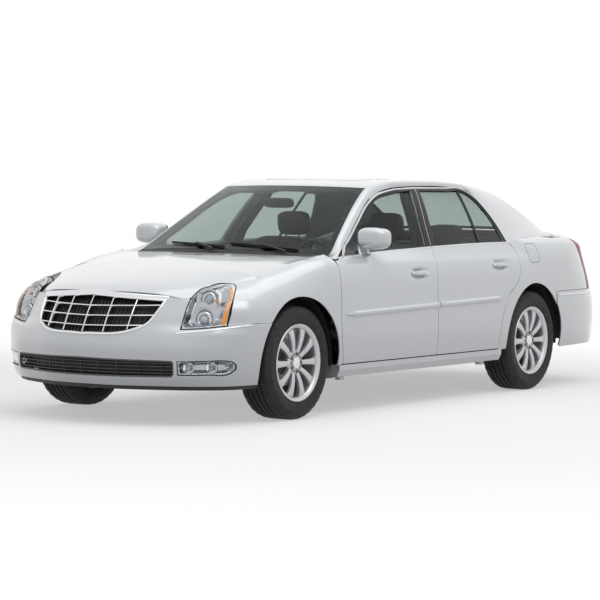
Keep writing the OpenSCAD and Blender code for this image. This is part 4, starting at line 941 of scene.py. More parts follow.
LAMP_LOW = 575
LAMP_REAR = np.array([
    (FRONT + 638, LAMP_LOW + 21), (FRONT + 584, 723), (FRONT + 500, 815), (FRONT + 440, 860),
    (FRONT + 435, 900),
])
BUMPER_TOP = np.array([
    (FRONT + 100, 598), (FRONT + 458, 610), (FRONT + 640, LAMP_LOW + 13), (FRONT + 790, LAMP_LOW - 10),
])
LOW = DOOR - SHUT
bumper_z = np.interp(FRONT + 321, BUMPER_TOP[:, 0], BUMPER_TOP[:, 1])
lower_edge = np.vstack([
    dense([(FRONT + 634, LAMP_LOW + 19), (FRONT + 458, 614), (FRONT + 321, bumper_z + 4)], 14,
          closed=False),
    arch_arc(FRONT, arch_angle(bumper_z + 4), 180 - arch_angle(LOW))[1:],
    dense(np.vstack([FRONT_LEAD + (SHUT, 0)])[:-1], 14, (0,), closed=False)[0:],
])
lower_edge[-1:] = FRONT_LEAD[-2:-1] + (SHUT, 0)
front_edge = dense(LAMP_REAR[::-1][1:] - (4, 0), 12, (), closed=False)
edge = hood_point(np.linspace(X_HOOD, HEADER - 6, 160), np.ones(160))
edge = edge[(edge[:, 0] > FRONT - 427) & (edge[:, 0] < FRONT + 430)]
back = np.array([(FRONT - 427.0, edge[0, 1], 0)])
edge = np.vstack([back, edge])
edge_t = t_of_x(edge[:, 0])
for _ in range(8):
    edge_w = halve(lambda w: skin(edge_t, fender_z(edge_t, w))[:, 1] < edge[:, 1] + 7,
                   np.full(len(edge), WAIST + 20),
                   np.full(len(edge), WAIST + 6.5 * KEY_STEP))
    edge_t = t_of_x(plan(edge_t)[:, 0] + edge[:, 0] - skin(edge_t, fender_z(edge_t, edge_w))[:, 0])
fender_loop = np.vstack([
    fender_w(side_map(lower_edge, 2.2)), np.column_stack([s_of_t(edge_t), edge_w]),
    fender_w(side_map(front_edge, 2.2))[:-1],
])

# The hood's sides meet the fenders' edges
rise = np.clip(skin(edge_t, fender_z(edge_t, edge_w))[:, 2] - edge[:, 2], -10, 40)[1:]
order = np.argsort(edge[1:, 0])
hood_grid = hood_point(us, ss)
hood_grid[..., 2] += np.interp(hood_grid[..., 0], edge[1:, 0][order], rise[order]) * np.abs(ss) ** 7 * ease(
    FRONT + 240, FRONT - 60, hood_grid[..., 0])
hood = patch("hood_skin", hood_grid, (0, 0, 1), PAINT, "hood", "paint", 16)
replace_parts(hood, "hood")
fenders = panel("front_fender", [fender_loop], PAINT, "car_body", "paint", 14, None, 12, z_of=fender_z)
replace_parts(fenders[0], "front_fenders")

# Quarter panels
BUMPER_Z = 688
LAMP_BACK = np.array([(TAIL + 520, BELT + 17), (TAIL + 474, 954), (TAIL + 414, 827),
                      (TAIL + 380, BUMPER_Z)])


X_SILL = DECK + 30
X_LID = X_SILL - 16
LID_HALF = 590


def lid_top(u, s):
    bend = mix(70, 45, ease(X_LID, LIP, u))
    y = s * (plan(t_of_x(u + bend))[..., 1] * 0.82 - 10 - 24 * ease(DECK - 60, LIP + 200, u))
    return np.stack([u + bend * (y / 700) ** 2, y, mix(WAIST, DECK_LINE(u), DECK_BY_Y(np.abs(s) * 0.82))],
                    -1)


# The skin beside the lid, from its front corner to its rear one
rim = lid_top(np.linspace(X_LID - 10, LIP + 30, 70), np.ones(70))
deck_t = t_of_x(rim[:, 0])
for _ in range(8):
    deck_z = halve(lambda z: skin(deck_t, z)[:, 1] < rim[:, 1] + 7, np.full(70, 900.0), np.full(70, 1100.0))
    deck_t = t_of_x(plan(deck_t)[:, 0] + rim[:, 0] - skin(deck_t, deck_z)[:, 0])
deck_z = np.maximum(deck_z, 1004)
ahead_of_lamp = rim[:, 0] > LAMP_BACK[0, 0] + 12
tops = np.vstack([np.column_stack([rim[:, 0], deck_z])[ahead_of_lamp][::-1], FRAME_LINE[:13:-1]])
trail = moved_line(REAR_TRAIL, -SHUT)
quarter_line = np.vstack([
    dense(trail, 12, (0, 10), closed=False), [(REAR + 520, LOW)],
    arch_arc(REAR, arch_angle(LOW), 180 - arch_angle(599)),
    dense([(REAR - 324, 602), (REAR - 324, BUMPER_Z + 4), (TAIL + 390, BUMPER_Z + 4)], 14, closed=False),
    dense(LAMP_BACK[::-1] + (5, 0), 12, (), closed=False)[1:],
    dense(tops, 14, (), closed=False),
])
joint = side_map(dense([(-2016, float(np.interp(2016, -rim[:, 0], deck_z)) + 3), (-1930, BELT + 43),
                        (-1860, BELT + 45)],
                       10, (), closed=False))
strip("deck_joint", None, 46, 9, PAINT, "car_body", "paint", depth=3, mapped=joint)
quarters = panel("quarter_panel", [side_map(quarter_line)], PAINT, "car_body", "paint", 14, None, 12)
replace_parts(quarters[0], "quarter_panels")

# Rear bumper, from wheel arch to wheel arch
rows = []
for z in np.concatenate([np.linspace(290, 330, 6), np.linspace(345, BUMPER_Z - 2, 26)]):
    reach = REAR - max(330.0, math.sqrt(max(0.0, ARCH**2 - (z - AXLE) ** 2)) + 2)
    t = mix(t_of_x(reach), END, np.linspace(0, 1, 90))
    left = skin(t, z, -6)
    rows.append(np.vstack([left, (left * (1, -1, 1))[-2::-1]]))
bumper = patch("rear_bumper_cover", np.array(rows), (-0.3, 0, 0.05), PAINT, "car_body", "paint", 12)
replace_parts(bumper, "rear_bumper")


# Front bumper with the openings of the grilles and the fog lamps
def whole(half):
    half = np.asarray(half, float)
    return np.vstack([half, (half * (-1, 1))[::-1][(half[::-1, 0] > 0)]])


GRILLE_HALF = [(0, BELT - 262), (456, BELT - 290), (441, 680), (402, 600), (350, 574), (0, 538)]
LOWER_HALF = [(0, 398), (580, 390), (588, 380), (588, 314), (574, 300), (0, 296)]
FOG = [(2.79, 391), (3.46, 395), (3.98, 396), (4.2, 386), (4.3, 366), (4.31, 346), (4.2, 326), (3.47, 310),
       (2.81, 308)]
GRILLE_LOOP = front_map(dense(whole(GRILLE_HALF), 12, (0, 1, 5, 9)))
LOWER_LOOP = front_map(dense(whole(LOWER_HALF), 12))
FOG_LOOP = dense([(float(s_of_t(t)), z) for t, z in FOG], 8, (0, 8))
lamp_edge = [(4.03, 595.5), (3.73, 588.5), (3.48, 582.5), (3.16, 576.5), (2.84, 573), (2.93, 664),
             (3.08, 754)]
half_line = np.vstack([
    np.column_stack([np.linspace(0, s_of_t(t_of_x(FRONT + 392)), 90), np.full(90, SILL)]),
    side_map(arch_arc(FRONT, -arch_angle(2 * AXLE - SILL), arch_angle(bumper_z)), 2.0)[1:],
    side_map(dense([(FRONT + 321, bumper_z), (FRONT + 458, 608), (FRONT + 630, 595.5)], 14, (),
                   closed=False), 2.0)[1:-1],
    dense([(float(s_of_t(t)), z) for t, z in lamp_edge], 14, (4,), closed=False),
    front_map(dense([(566, 758), (443, 768), (260, 775), (0, 782)], 16, (), closed=False)),
])
full = np.vstack([half_line, (half_line * (-1, 1))[-2:0:-1]])
cover = panel("front_bumper_cover", [full, GRILLE_LOOP, LOWER_LOOP, FOG_LOOP, FOG_LOOP * (-1, 1)], PAINT,
              "car_body",
              "paint", 14, None, 12, 1.5, both=False)
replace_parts(cover, "front_bumper")

# Boot lid, over the deck and down the rear face
def tail_point(y, z, depth=0.0):
    q = rear_map(np.column_stack([np.abs(y), z]))
    return skin(t_of_s(q[:, 0]), z,
                depth) * np.column_stack([np.ones_like(y), np.where(y < 0, -1, 1), np.ones_like(y)])


lid_s = np.linspace(1, -1, 61)
lid_rows = [lid_top(np.full(61, u), lid_s) for u in (X_LID, X_LID - 120, X_LID - 260, X_LID - 400,
                                                     LIP + 14)]
lid_rows += [tail_point(lid_s * LID_HALF, np.full(61, float(z))) for z in (DECK_Z - 76, 960, 860, 770,
    BUMPER_Z + 8)]
lid_curve = Curve(list(enumerate(np.array(lid_rows).reshape(10, -1))))
lid_grid = lid_curve(np.linspace(0, 9, 91)).reshape(91, 61, 3)
lid = patch("boot_lid_skin", lid_grid, (-0.5, 0, 0.8), PAINT, "boot_lid", "paint", 16)
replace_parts(lid, "boot_lid")

# Roof, glass and the frames beside them
EDGE_Y = Curve([
    (DECK + 20, 0.68 * HALF_W), (DECK + 290, 0.645 * HALF_W), (LIGHT, 0.602 * HALF_W), (-500, 0.6 * HALF_W),
    (SCREEN - 420, 0.602 * HALF_W), (SCREEN, 0.592 * HALF_W), (COWL, 0.79 * HALF_W),
])
X_BASE, X_HEAD, X_BACK = COWL - 20, SCREEN - 20, LIGHT - 30


def top_point(u, s):
    bow = mix(150, 108, np.maximum(0, (u - SCREEN) / (COWL - SCREEN))) * ease(SCREEN - 500, SCREEN, u)
    bow = bow - 80 * ease(LIGHT + 400, LIGHT, u)
    y = s * EDGE_Y(u)
    return np.stack([u - bow * (y / 700) ** 2, y, TOP(u) - 12 * (y / 600) ** 2], -1)


def top_grid(start, end, m, low=-1.0, high=1.0, n=49, drop=0.0):
    u, s = np.meshgrid(np.linspace(start, end, m), np.linspace(high, low, n), indexing="ij")
    g = top_point(u, s)
    return g - grid_normals(g, np.array((0, 0, 1.0))) * drop if drop else g


UP = (0, 0, 1)
roof = patch("roof_skin", top_grid(X_HEAD, X_BACK, 60), UP, PAINT, "car_body", "paint", 14, 1.5)
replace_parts(roof, "roof")
screen = patch("windscreen_glass", top_grid(X_BASE - 4, X_HEAD + 4, 30), UP, GLASS, "car_body", "glass", 5,
               0.3)
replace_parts(screen, "windshield")
light = patch("rear_glass", top_grid(X_BACK - 4, X_SILL, 30), UP, GLASS, "car_body", "glass", 5, 0.3)
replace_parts(light, "rear_window")
BEHIND = 6.0
for name, first, last, wide, deep_a, deep_b in (("screen", X_BASE - 4, X_HEAD + 4, 0.055, 50, 72),
                                                ("rear", X_BACK - 4, X_SILL, 0.06, 40, 44)):
    way = -1 if last < first else 1
    a, b = first + way * deep_a, last - way * deep_b
    for tag, u0, u1, s0, s1, m, n in (("low", first, a, -1, 1, 6, 41), ("high", b, last, -1, 1, 6, 41),
                                      ("left", a, b, 1 - wide, 1, 24, 5),
                                      ("right", a, b, -1, wide - 1, 24, 5)):
        patch(f"{name}_border_{tag}", top_grid(u0, u1, m, s0, s1, n, BEHIND), UP, GLOSS, "car_body",
              "dark_plastic",
              2, 0)

SCREEN_ROWS = np.linspace(X_BASE - 4, X_HEAD + 4, 5)
ROOF_ROWS = [SCREEN - 210, SCREEN - 420, SCREEN - 720, SCREEN - 1020, LIGHT + 450, LIGHT + 200, X_BACK]
LIGHT_ROWS = [X_BACK - 230, X_BACK - 480, X_BACK - 580, X_SILL + 40, X_SILL]
FRAME_ROWS = np.concatenate([SCREEN_ROWS, ROOF_ROWS, LIGHT_ROWS])


def cowl_front(s):
    y = s * 788
    sec = front_section(np.asarray(float(X_HOOD)), np.asarray(4.0 * abs(s)))
    return np.array((X_HOOD - 75 * (y / 760) ** 2 - 14, y, mix(WAIST, HOOD(X_HOOD), sec[1]) - 14))


frame_cols = []
for i, l in enumerate(FRAME_LINE):
    a = cowl_front(1.0) if i == 0 else top_point(np.asarray(FRAME_ROWS[i - 1]), np.asarray(1.0))
    frame_cols.append((a, skin(t_of_x(l[0]), l[1])))
top_line = Curve(list(enumerate(np.array([a for a, _ in frame_cols]))))
door_line = Curve(list(enumerate(np.array([b for _, b in frame_cols]))))
i, s = np.meshgrid(np.linspace(0, 17, 137), np.linspace(0, 1, 13), indexing="ij")
frame_grid = mix(top_line(i), door_line(i), s[..., None])
frame_grid = frame_grid + unit(np.array((0, 0.75, 0.66))) * (56 * s * (1 - s))[..., None]
frames = patch("side_frame", frame_grid, (0, 0.75, 0.66), PAINT, "car_body", "paint", 22, 1.5, both=True)
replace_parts(frames[0], "side_frames")


# Forms used by the lamps and the wheels
def turned_solid(profile, n=40):
    """A closed turned form from (radius, along) points, whose ends lie near the axis, along Z."""
    a = np.arange(n) * 2 * math.pi / n
    rings = np.array([[(max(r, 0.02) * math.cos(k), max(r, 0.02) * math.sin(k), h) for k in a] for r,
                      h in profile])
    v, f = loft(rings)
    return v, outward(v - v.mean(0), f)


def aimed(part, at, way):
    """Turns the Z axis of a form to a direction and puts it in place."""
    m = np.array(Vector((0, 0, 1)).rotation_difference(Vector(way)).to_matrix())
    return part[0] @ m.T + np.asarray(at, float), part[1]


def loop_of(points, step=8, corners=()):
    """A loop of (plan key, height) points on the skin, as a dense loop of distances and heights."""
    q = np.array([(float(s_of_t(t)), z) for t, z in points])
    return dense(q, step, corners)


def dish(name, loop, mat, slot, deep, wall=36, at=4.0, step=11, body="car_body"):
    """A hollow behind an outline, from its rim to its floor."""
    def depth(t, z):
        q = np.column_stack([s_of_t(np.ravel(t)), np.ravel(z)])
        return (at + deep * ease(0, wall, away(q, loop))).reshape(np.shape(t))

    return panel(name, [loop], mat, body, slot, step, depth, 3, 0.2)


def nose_line(points, depth=0.0):
    """Points and outward directions on the nose for front view points (y, z)."""
    q = front_map(points)
    t = t_of_s(q[:, 0])
    return skin(t, q[:, 1], depth), skin_normal(t, q[:, 1])


BAR = [(-1, -2.4), (-1, 0.3), (-0.6, 0.85), (0, 1), (0.6, 0.85), (1, 0.3), (1, -2.4)]

# Grille: surround, header, five upright and three level bars, and the dark duct behind them
low_line = np.array([(0, 538), (350, 574), (402, 600), (441, 680), (456, 742)], float)
bars = []
for y in (-304, -152, 0, 152, 304):
    z = np.linspace(np.interp(abs(y), low_line[:, 0], low_line[:, 1]) - 3, 770 - 28 * abs(y) / 456, 24)
    p, n = nose_line(np.column_stack([np.full(24, float(y)), z]), 12)
    bars.append(sweep(p, n, 11, 9, BAR))
for z in (596, 654, 712):
    half = np.interp(z, low_line[:, 1], low_line[:, 0]) + 3
    y = np.linspace(-half, half, 61)
    rise = 10 * (1 - (np.abs(y) / 460)) * (-1)
    p, n = nose_line(np.column_stack([y, z + rise]), 8)
    bars.append(sweep(p, n, 10, 9, BAR))
t = t_of_s(GRILLE_LOOP[:, 0])
bars.append(sweep(skin(t, GRILLE_LOOP[:, 1], 3), skin_normal(t, GRILLE_LOOP[:, 1]), 17, 9, closed=True))
chrome_grille = make("grille_bars", *joined(bars), CHROME, "car_body", "bright")
y = np.linspace(-470, 470, 61)
p, n = nose_line(np.column_stack([y, 781 - 25 * (np.abs(y) / 470) ** 1.0]), 2)
make("grille_header", *sweep(p, n, mix(40, 30, np.abs(y) / 470), 9), CHROME, "car_body", "bright")
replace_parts(chrome_grille, "grille")
panel("grille_duct", [GRILLE_LOOP], BLACK, "car_body", "dark_plastic", 30, lambda t, z: 46 + 0 * z, 4, 0,
      both=False)
wall = sweep(skin(t, GRILLE_LOOP[:, 1], 28), skin_normal(t, GRILLE_LOOP[:, 1]), 6, 24,
             [(-1, -1), (-1, 1), (1, 1), (1, -1)],
             closed=True)
make("grille_throat", *wall, BLACK, "car_body", "dark_plastic")
ribs = []
for y in np.arange(-420, 421, 28):
    z = np.linspace(np.interp(abs(y), low_line[:, 0], low_line[:, 1]), 768 - 28 * abs(y) / 456, 8)
    p, n = nose_line(np.column_stack([np.full(8, float(y)), z]), 42)
    ribs.append(sweep(p, n, 4, 4))
make("grille_mesh", *joined(ribs), BLACK, "car_body", "dark_plastic")

# Lower grille: four slats and a surround in place of the frame's own, with the dark duct and the uprights
# behind them
panel("lower_duct", [LOWER_LOOP], BLACK, "car_body", "dark_plastic", 40, lambda t, z: 52 + 0 * z, 4, 0,
      both=False)
ribs = []
for y in np.arange(-520, 521, 130):
    p, n = nose_line(np.column_stack([np.full(6, float(y)), np.linspace(300, 392, 6)]), 26)
    ribs.append(sweep(p, n, 6, 8))
slats = []
for z in (318, 338, 358, 378):
    y = np.linspace(-578, 578, 61)
    p, n = nose_line(np.column_stack([y, np.full(61, float(z))]), 8)
    slats.append(sweep(p, n, 5, 4, BAR))
t = t_of_s(LOWER_LOOP[:, 0])
slats.append(sweep(skin(t, LOWER_LOOP[:, 1], 4), skin_normal(t, LOWER_LOOP[:, 1]), 12, 5, closed=True))
low_slats = make("lower_grille_slats", *joined(slats + ribs), SLAT, "car_body", "dark_plastic")
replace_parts(low_slats, "lower_grille")

# Headlamps: lens, bowl, two projectors, amber reflector and a small bulb
LAMP = loop_of([(2.85, 578), (2.96, 664), (3.12, 756), (3.34, 804), (3.75, 824), (4.18, 835), (4.62, 843),
                (4.83, 838),
                (4.5, 780), (4.22, 716), (4.03, 600), (3.73, 593), (3.48, 587), (3.16, 581)], 9, (0, 10))
lenses = panel("headlamp_glass", [LAMP], CLEAR, "car_body", "lens", 14, None, 3, 0.6)
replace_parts(lenses[0], "headlamp_lenses")
bowls = dish("headlamp_bowl", LAMP, BOWL, "bright", 62, 44, 5)
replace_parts(bowls[0], "headlamps")
t = t_of_s(LAMP[:, 0])
rim = sweep(skin(t, LAMP[:, 1], 3.5), skin_normal(t, LAMP[:, 1]), 8, 3, closed=True)
mirrored_pair("headlamp_seal", rim, SEAL, "car_body", "dark_plastic")
AHEAD = (0.955, 0.29, 0.05)


def projector(r):
    ring = lathe([(r + 4, -26), (r + 15, -20), (r + 21, 2), (r + 17, 5), (r + 11, -4), (r + 5, 2), (r, -2),
                  (r - 1, -26)],
                 48, "z")
    ball = turned_solid([(0, -16), (r - 3, -16), (r - 1.5, -6), (r * 0.86, 6), (r * 0.6, 14),
                         (r * 0.3, 17.5), (0, 18.5)])
    return ring, ball


for i, (tk, z, r, deep) in enumerate(((3.46, 634, 27, 50), (3.62, 748, 26, 56))):
    ring, ball = projector(r)
    at = skin(tk, z, deep)
    mirrored_pair(f"projector_ring_{i}", aimed(ring, at, AHEAD), CHROME, "car_body", "bright")
    mirrored_pair(f"projector_lens_{i}", aimed(ball, at, AHEAD), BULB, "car_body", "lens")
    cup = lathe([(r + 18, -8), (r + 44, 14), (r + 46, 17), (r + 43, 17), (r + 16, -3)], 56, "z")
    mirrored_pair(f"projector_cup_{i}", aimed(cup, skin(tk, z, deep + 6), AHEAD), BOWL, "car_body",
                  "bright")
AMBER_LOOP = loop_of([(4.54, 815), (4.7, 822), (4.45, 768), (4.19, 712), (3.99, 602), (3.86, 602),
                      (4.07, 712), (4.32, 768)],
                     8, (0, 1, 4, 5))
panel("amber_reflector", [AMBER_LOOP], AMBER, "car_body", "lens", 10, lambda t, z: 9 + 0 * z, 6, 0.8)
bulb = turned_solid([(0, -12), (7, -12), (10, -3), (10, 5), (6, 12), (0, 14)], 24)
mirrored_pair("signal_bulb", aimed(bulb, skin(3.9, 742, 42), AHEAD), AMBER, "car_body", "lens")

# Fog lamps: lens, bowl, bezel and two bulbs with their cups
fog_glass = panel("fog_glass", [FOG_LOOP], CLEAR, "car_body", "lens", 16, lambda t, z: 5 + 0 * z, 3, 0.4)
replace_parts(fog_glass[0], "fog_lamps")
dish("fog_bowl", FOG_LOOP, BOWL, "bright", 46, 30, 9, 12)
t = t_of_s(FOG_LOOP[:, 0])
mirrored_pair("fog_bezel",
              sweep(skin(t, FOG_LOOP[:, 1], 4), skin_normal(t, FOG_LOOP[:, 1]), 10, 4, closed=True), BLACK,
              "car_body", "dark_plastic")
for i, (y, z, r) in enumerate(((668, 350, 30), (776, 352, 30))):
    at = nose_line([(y, z)], 40)[0][0]
    cup = lathe([(7, -14), (r, 10), (r + 3, 13), (r + 5, 11), (r + 4, -16), (8, -20)], 40, "z")
    glow = turned_solid([(0, -12), (6, -12), (8, -2), (7, 6), (0, 10)], 24)
    mirrored_pair(f"fog_cup_{i}", aimed(cup, at, AHEAD), CHROME, "car_body", "bright")
    mirrored_pair(f"fog_bulb_{i}", aimed(glow, at, AHEAD), BULB, "car_body", "lens")

# Bright strips on the bumpers
keys = Curve([(0, (2.76, 553)), (1, (3.44, 570)), (2, (4.04, 587)), (3, (4.77, 603))])(np.linspace(0, 3,
    60))
strip("bumper_strip_front", None, 9, 4.5, CHROME, "car_body", "bright",
      mapped=np.column_stack([s_of_t(keys[:, 0]), keys[:, 1]]))
t = mix(t_of_x(REAR - 356), END, np.linspace(0, 1, 90))
left = skin(t, 664, -6)
n = skin_normal(t, np.full(90, 664.0))
path = np.vstack([left, (left * (1, -1, 1))[-2::-1]])
norm = np.vstack([n, (n * (1, -1, 1))[-2::-1]])
make("bumper_strip_rear", *sweep(path, norm, 11, 5), CHROME, "car_body", "bright")

# Tail lamps, on the rear corners beside the lid
front_side = side_map(dense(LAMP_BACK - (2, -3), 14, (), closed=False))
beside = np.column_stack([s_of_t(deck_t), deck_z])[~ahead_of_lamp][::-1]
LAMP_IN, LID_OUT = 690.0, 612.0


def tail_loop(front, y):
    """The outline on the rear corner between a front edge, running down, and the line at y."""
    foot = rear_map([(y, BUMPER_Z + 6)])[0, 0]
    top_z = np.interp(foot, beside[::-1, 0], beside[::-1, 1]) - 4
    back = rear_map([(y, z) for z in np.linspace(BUMPER_Z + 6, top_z, 26)])
    base = np.column_stack([np.linspace(front[-1, 0], foot, 20)[1:-1], np.full(18, BUMPER_Z + 4.0)])
    over = beside[(beside[:, 0] < back[-1, 0] - 8) & (beside[:, 0] > front[0, 0] + 8)]
    return np.vstack([front, base, back, over]), back


TAIL_LAMP, lamp_edge_in = tail_loop(front_side, LAMP_IN)
tails = panel("tail_lamp_lens", [TAIL_LAMP], RED, "car_body", "red_lens", 14, None, 16, 2)
TAIL_CORNER, _ = tail_loop(lamp_edge_in[::-1] + (5, 0), LID_OUT)
panel("tail_corner", [TAIL_CORNER], PAINT, "car_body", "paint", 14, None, 14, 2)
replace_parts(tails[0], "tail_lamps")


# Window surrounds, bright strips and the quarter light's bar
SURROUND = {
    "front": (np.vstack([
        [(FRONT - 520, BELT - 44)], moved_line(FRAME_LINE, 17, 1, 7),
        [(SPLIT - 212.5, RAIL - 20), (SPLIT - 102.5, band(0.404)), (SPLIT - 49.5, BELT + 3)],
        [(328, 1023), (808, 1002)],
    ]), (0, 7, 8, 10)),
    "rear": (np.vstack([
        [(SPLIT - 58.5, BELT + 5), (SPLIT - 111.5, band(0.404)), (SPLIT - 221.5, RAIL - 20)],
        moved_line(FRAME_LINE, 17, 9, 13), [(REAR + 266, BELT + 18), (-542, 1048)],
    ]), (0, 2, 3, 8)),
}
BELT_STRIP = {
    "front": [(FRONT - 482, BELT - 52), (808, 996), (328, 1016), (SPLIT - 42, 1030)],
    "rear": [(SPLIT - 62, 1031), (-542, 1042), (REAR + 252, 1045)],
}
TOP_STRIP = {
    "front": np.vstack([moved_line(FRAME_LINE, 14, 0, 7), [(SPLIT - 213, RAIL - 14)]]),
    "rear": np.vstack([[(SPLIT - 226, RAIL - 14)], moved_line(FRAME_LINE, 14, 9, 13),
                       [(REAR + 254, BELT + 16)]]),
}
for end, (line, corners) in SURROUND.items():
    hole = side_map(dense(window(2)[end][0], 14, window(2)[end][1]))
    panel(f"window_surround_{end}", [side_map(dense(line, 14, corners)), hole], GLOSS, f"door_{end}_*",
          "dark_plastic",
          22, lambda t, z: -1.5 + 0 * z, 5, 0.6)
    strip(f"belt_strip_{end}", dense(BELT_STRIP[end], 20, (), closed=False), 11, 4, CHROME, f"door_{end}_*",
          "bright")
    strip(f"window_strip_{end}", dense(TOP_STRIP[end], 16, (), closed=False), 9, 3.5, CHROME,
          f"door_{end}_*", "bright")
strip("quarter_light_bar", dense([(-742, RAIL - 44), (-690, BELT + 12)], 20, closed=False), 22, 9, BLACK,
      "door_rear_*",
      "dark_plastic", depth=11)

# Side mouldings with their bright inserts
MOULDING = ((1142, 630), (-806, 668))


def moulding_z(x):
    return np.interp(x, (MOULDING[1][0], MOULDING[0][0]), (MOULDING[1][1], MOULDING[0][1]))


for end, a, b in (("front", 1142, SPLIT + 5), ("rear", SPLIT - 13, -806)):
    x = np.linspace(a, b, 70)
    line = np.column_stack([x, moulding_z(x)])
    wide = np.full(70, 36.0)
    if end == "front":
        wide = wide * mix(0.12, 1, ease(0, 110, a - x))
    else:
        wide = wide * mix(0.5, 1, ease(0, 60, x - b))
    strip(f"side_moulding_{end}", line, wide, 9, PAINT, f"door_{end}_*", "paint", depth=-0.5)
    strip(f"moulding_insert_{end}", (line + (0, 9))[4:-2], np.minimum(wide[4:-2] * 0.3, 10), 11.5, CHROME,
          f"door_{end}_*", "bright", depth=-0.5)

# Door handles, in their bowls
for end, (hx, hz) in HANDLES.items():
    f = np.linspace(-1, 1, 33)
    q = side_map(np.column_stack([hx - 92 * f, np.full(33, float(hz) + 4)]))
    t = t_of_s(q[:, 0])
    p = skin(t, q[:, 1], -9 + 15 * f**6)
    mirrored_pair(f"door_handle_{end}", sweep(p, skin_normal(t, q[:, 1]), mix(27, 20, f**4), 8), PAINT,
                  f"door_{end}_*",
                  "paint")
    at = skin(t_of_s(side_map([(hx - 100, hz)])[0, 0]), hz, 0.5)
    lock = turned_solid([(0, -6), (8, -6), (8, 0.5), (6.5, 2), (0, 2.4)], 24)
    if end == "front":
        mirrored_pair("door_lock", aimed(lock, at + (0, 1.5, 0), (0, 0.99, 0.1)), CHROME, f"door_{end}_*",
                      "bright")

# Door mirrors: shell, glass and foot
MIRROR_AT = np.array((FRONT - 900 + 34, 896.0, BELT + 67))
shell = rounded_box((166, 208, 142), 3.4, 30)
v = shell[0].copy()
v[:, 0] *= mix(1.0, 0.82, np.clip(v[:, 1] / 104, 0, 1))
v[:, 2] *= mix(1.0, 0.9, np.clip(v[:, 1] / 104, 0, 1))
flat = v[:, 0] < -62
v[flat, 0] = -62 - (np.abs(v[flat, 0]) - 62) * 0.15
shells = mirrored_pair("mirror_shell", (v + MIRROR_AT, shell[1]), PAINT, "door_front_*", "paint")
pane = rounded_box((5, 176, 108), 5, 20)
mirrored_pair("mirror_pane", moved(pane, MIRROR_AT + (-66, -3, 0)), MIRROR, "door_front_*", "glass")
bezel = rounded_box((8, 186, 118), 5, 20)
mirrored_pair("mirror_bezel", moved(bezel, MIRROR_AT + (-62, -3, 0)), BLACK, "door_front_*", "dark_plastic")
foot_y = float(skin(t_of_x(FRONT - 880), BELT - 40)[1])
f = np.linspace(0, 1, 20)[:, None]
a, b = MIRROR_AT + (0, -84, -22), np.array((FRONT - 862, foot_y - 8, BELT - 40))
path = mix(a, b, f) + np.array((0, -14, 8)) * np.sin(f * math.pi)
foot = sweep(path, np.tile((1.0, 0, 0), (20, 1)), mix(62, 40, ease(0, 1, f[:, 0])),
             mix(38, 62, ease(0, 1, f[:, 0])), TUBE)
mirrored_pair("mirror_foot", foot, PAINT, "door_front_*", "paint")
for side, piece in zip(SIDES, shells):
    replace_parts(piece, f"mirror_{side}")

# Fuel door on the left side: its shut line
a = np.linspace(0, 2 * math.pi, 72, endpoint=False)
c, s = np.cos(a), np.sin(a)
FUEL_X, FUEL_Z, FUEL_HALF, FUEL_RISE = -1352, 968, 74, 66
ring = np.column_stack([
    FUEL_X + FUEL_HALF * np.sign(c) * np.abs(c) ** 0.35,
    FUEL_Z + FUEL_RISE * np.sign(s) * np.abs(s) ** 0.35,
])
q = side_map(ring)
t = t_of_s(q[:, 0])
make("fuel_door_line", *sweep(skin(t, q[:, 1], 0), skin_normal(t, q[:, 1]), 3.2, 0.5, closed=True), SEAL,
     "car_body",
     "dark_plastic")
soften("rockers", 7, 3)


# Wheels, along Y with the outer side at positive Y
RIM, BEAD, RIM_HALF, TYRE = 239.0, 220.0, 112.0, 351.0


def shared(name, parts, mat, sharp=40):
    """A mesh that several pieces use."""
    me = mesh_of(name, *(joined(parts) if isinstance(parts, list) else parts), sharp=sharp)
    me.materials.append(mat)
    return me


def along_y(part):
    """Turns a form from the Z axis to the Y axis."""
    v, f = part
    return np.column_stack([v[:, 0], v[:, 2], -v[:, 1]]), f


rim_ring = lathe([
    (BEAD - 13, -RIM_HALF), (RIM - 3, -RIM_HALF), (RIM, -RIM_HALF + 3), (RIM, -RIM_HALF + 7),
    (BEAD, -RIM_HALF + 9),
    (BEAD - 6, -50), (BEAD - 6, 50), (BEAD, RIM_HALF - 9), (RIM, RIM_HALF - 8), (RIM + 0.5, RIM_HALF - 4),
    (RIM - 2, RIM_HALF - 0.5), (RIM - 7, RIM_HALF), (RIM - 12, RIM_HALF - 3), (BEAD - 5, RIM_HALF - 10),
    (BEAD - 9, RIM_HALF - 20), (BEAD - 12, 70), (BEAD - 16, 40), (BEAD - 15, -50),
], 120)
SPOKE = np.array([(52, 15, 88, 32), (70, 15.5, 92, 32), (92, 16, 96, 30), (120, 17, 101, 28),
                  (150, 18.5, 103, 26),
                  (180, 21, 102, 26), (200, 25, 99.5, 28), (211, 30, 97, 30)])
radii = np.linspace(52, 211, 24)
wide, front, deep = (Curve(list(zip(SPOKE[:, 0], SPOKE[:, i])))(radii) for i in (1, 2, 3))
SPOKE_RING = [(-1, -0.9), (-1, -0.22), (-0.88, -0.07), (-0.5, -0.01), (0, 0.0), (0.5, -0.01), (0.88, -0.07),
              (1, -0.22),
              (1, -0.9), (0.6, -1), (-0.6, -1)]
rings = np.array([[(r, h + b * d, a * w) for a, b in SPOKE_RING] for r, w, h,
                  d in zip(radii, wide, front, deep)])
v, f = loft(rings)
f = outward(v - v.mean(0), f)
spoke_parts = []
for i in range(10):
    m = np.array(Matrix.Rotation(2 * math.pi * i / 10, 3, "Y"))
    spoke_parts.append((v @ m.T, f))
hub = along_y(turned_solid([(0, 46), (70, 46), (76, 52), (77, 74), (72, 84), (64, 88), (44, 89), (40, 86),
                            (0, 86)], 80))
barrel = along_y(turned_solid([(0, -40), (74, -40), (74, 46), (0, 46)], 60))
lugs, recess_shades = [], []
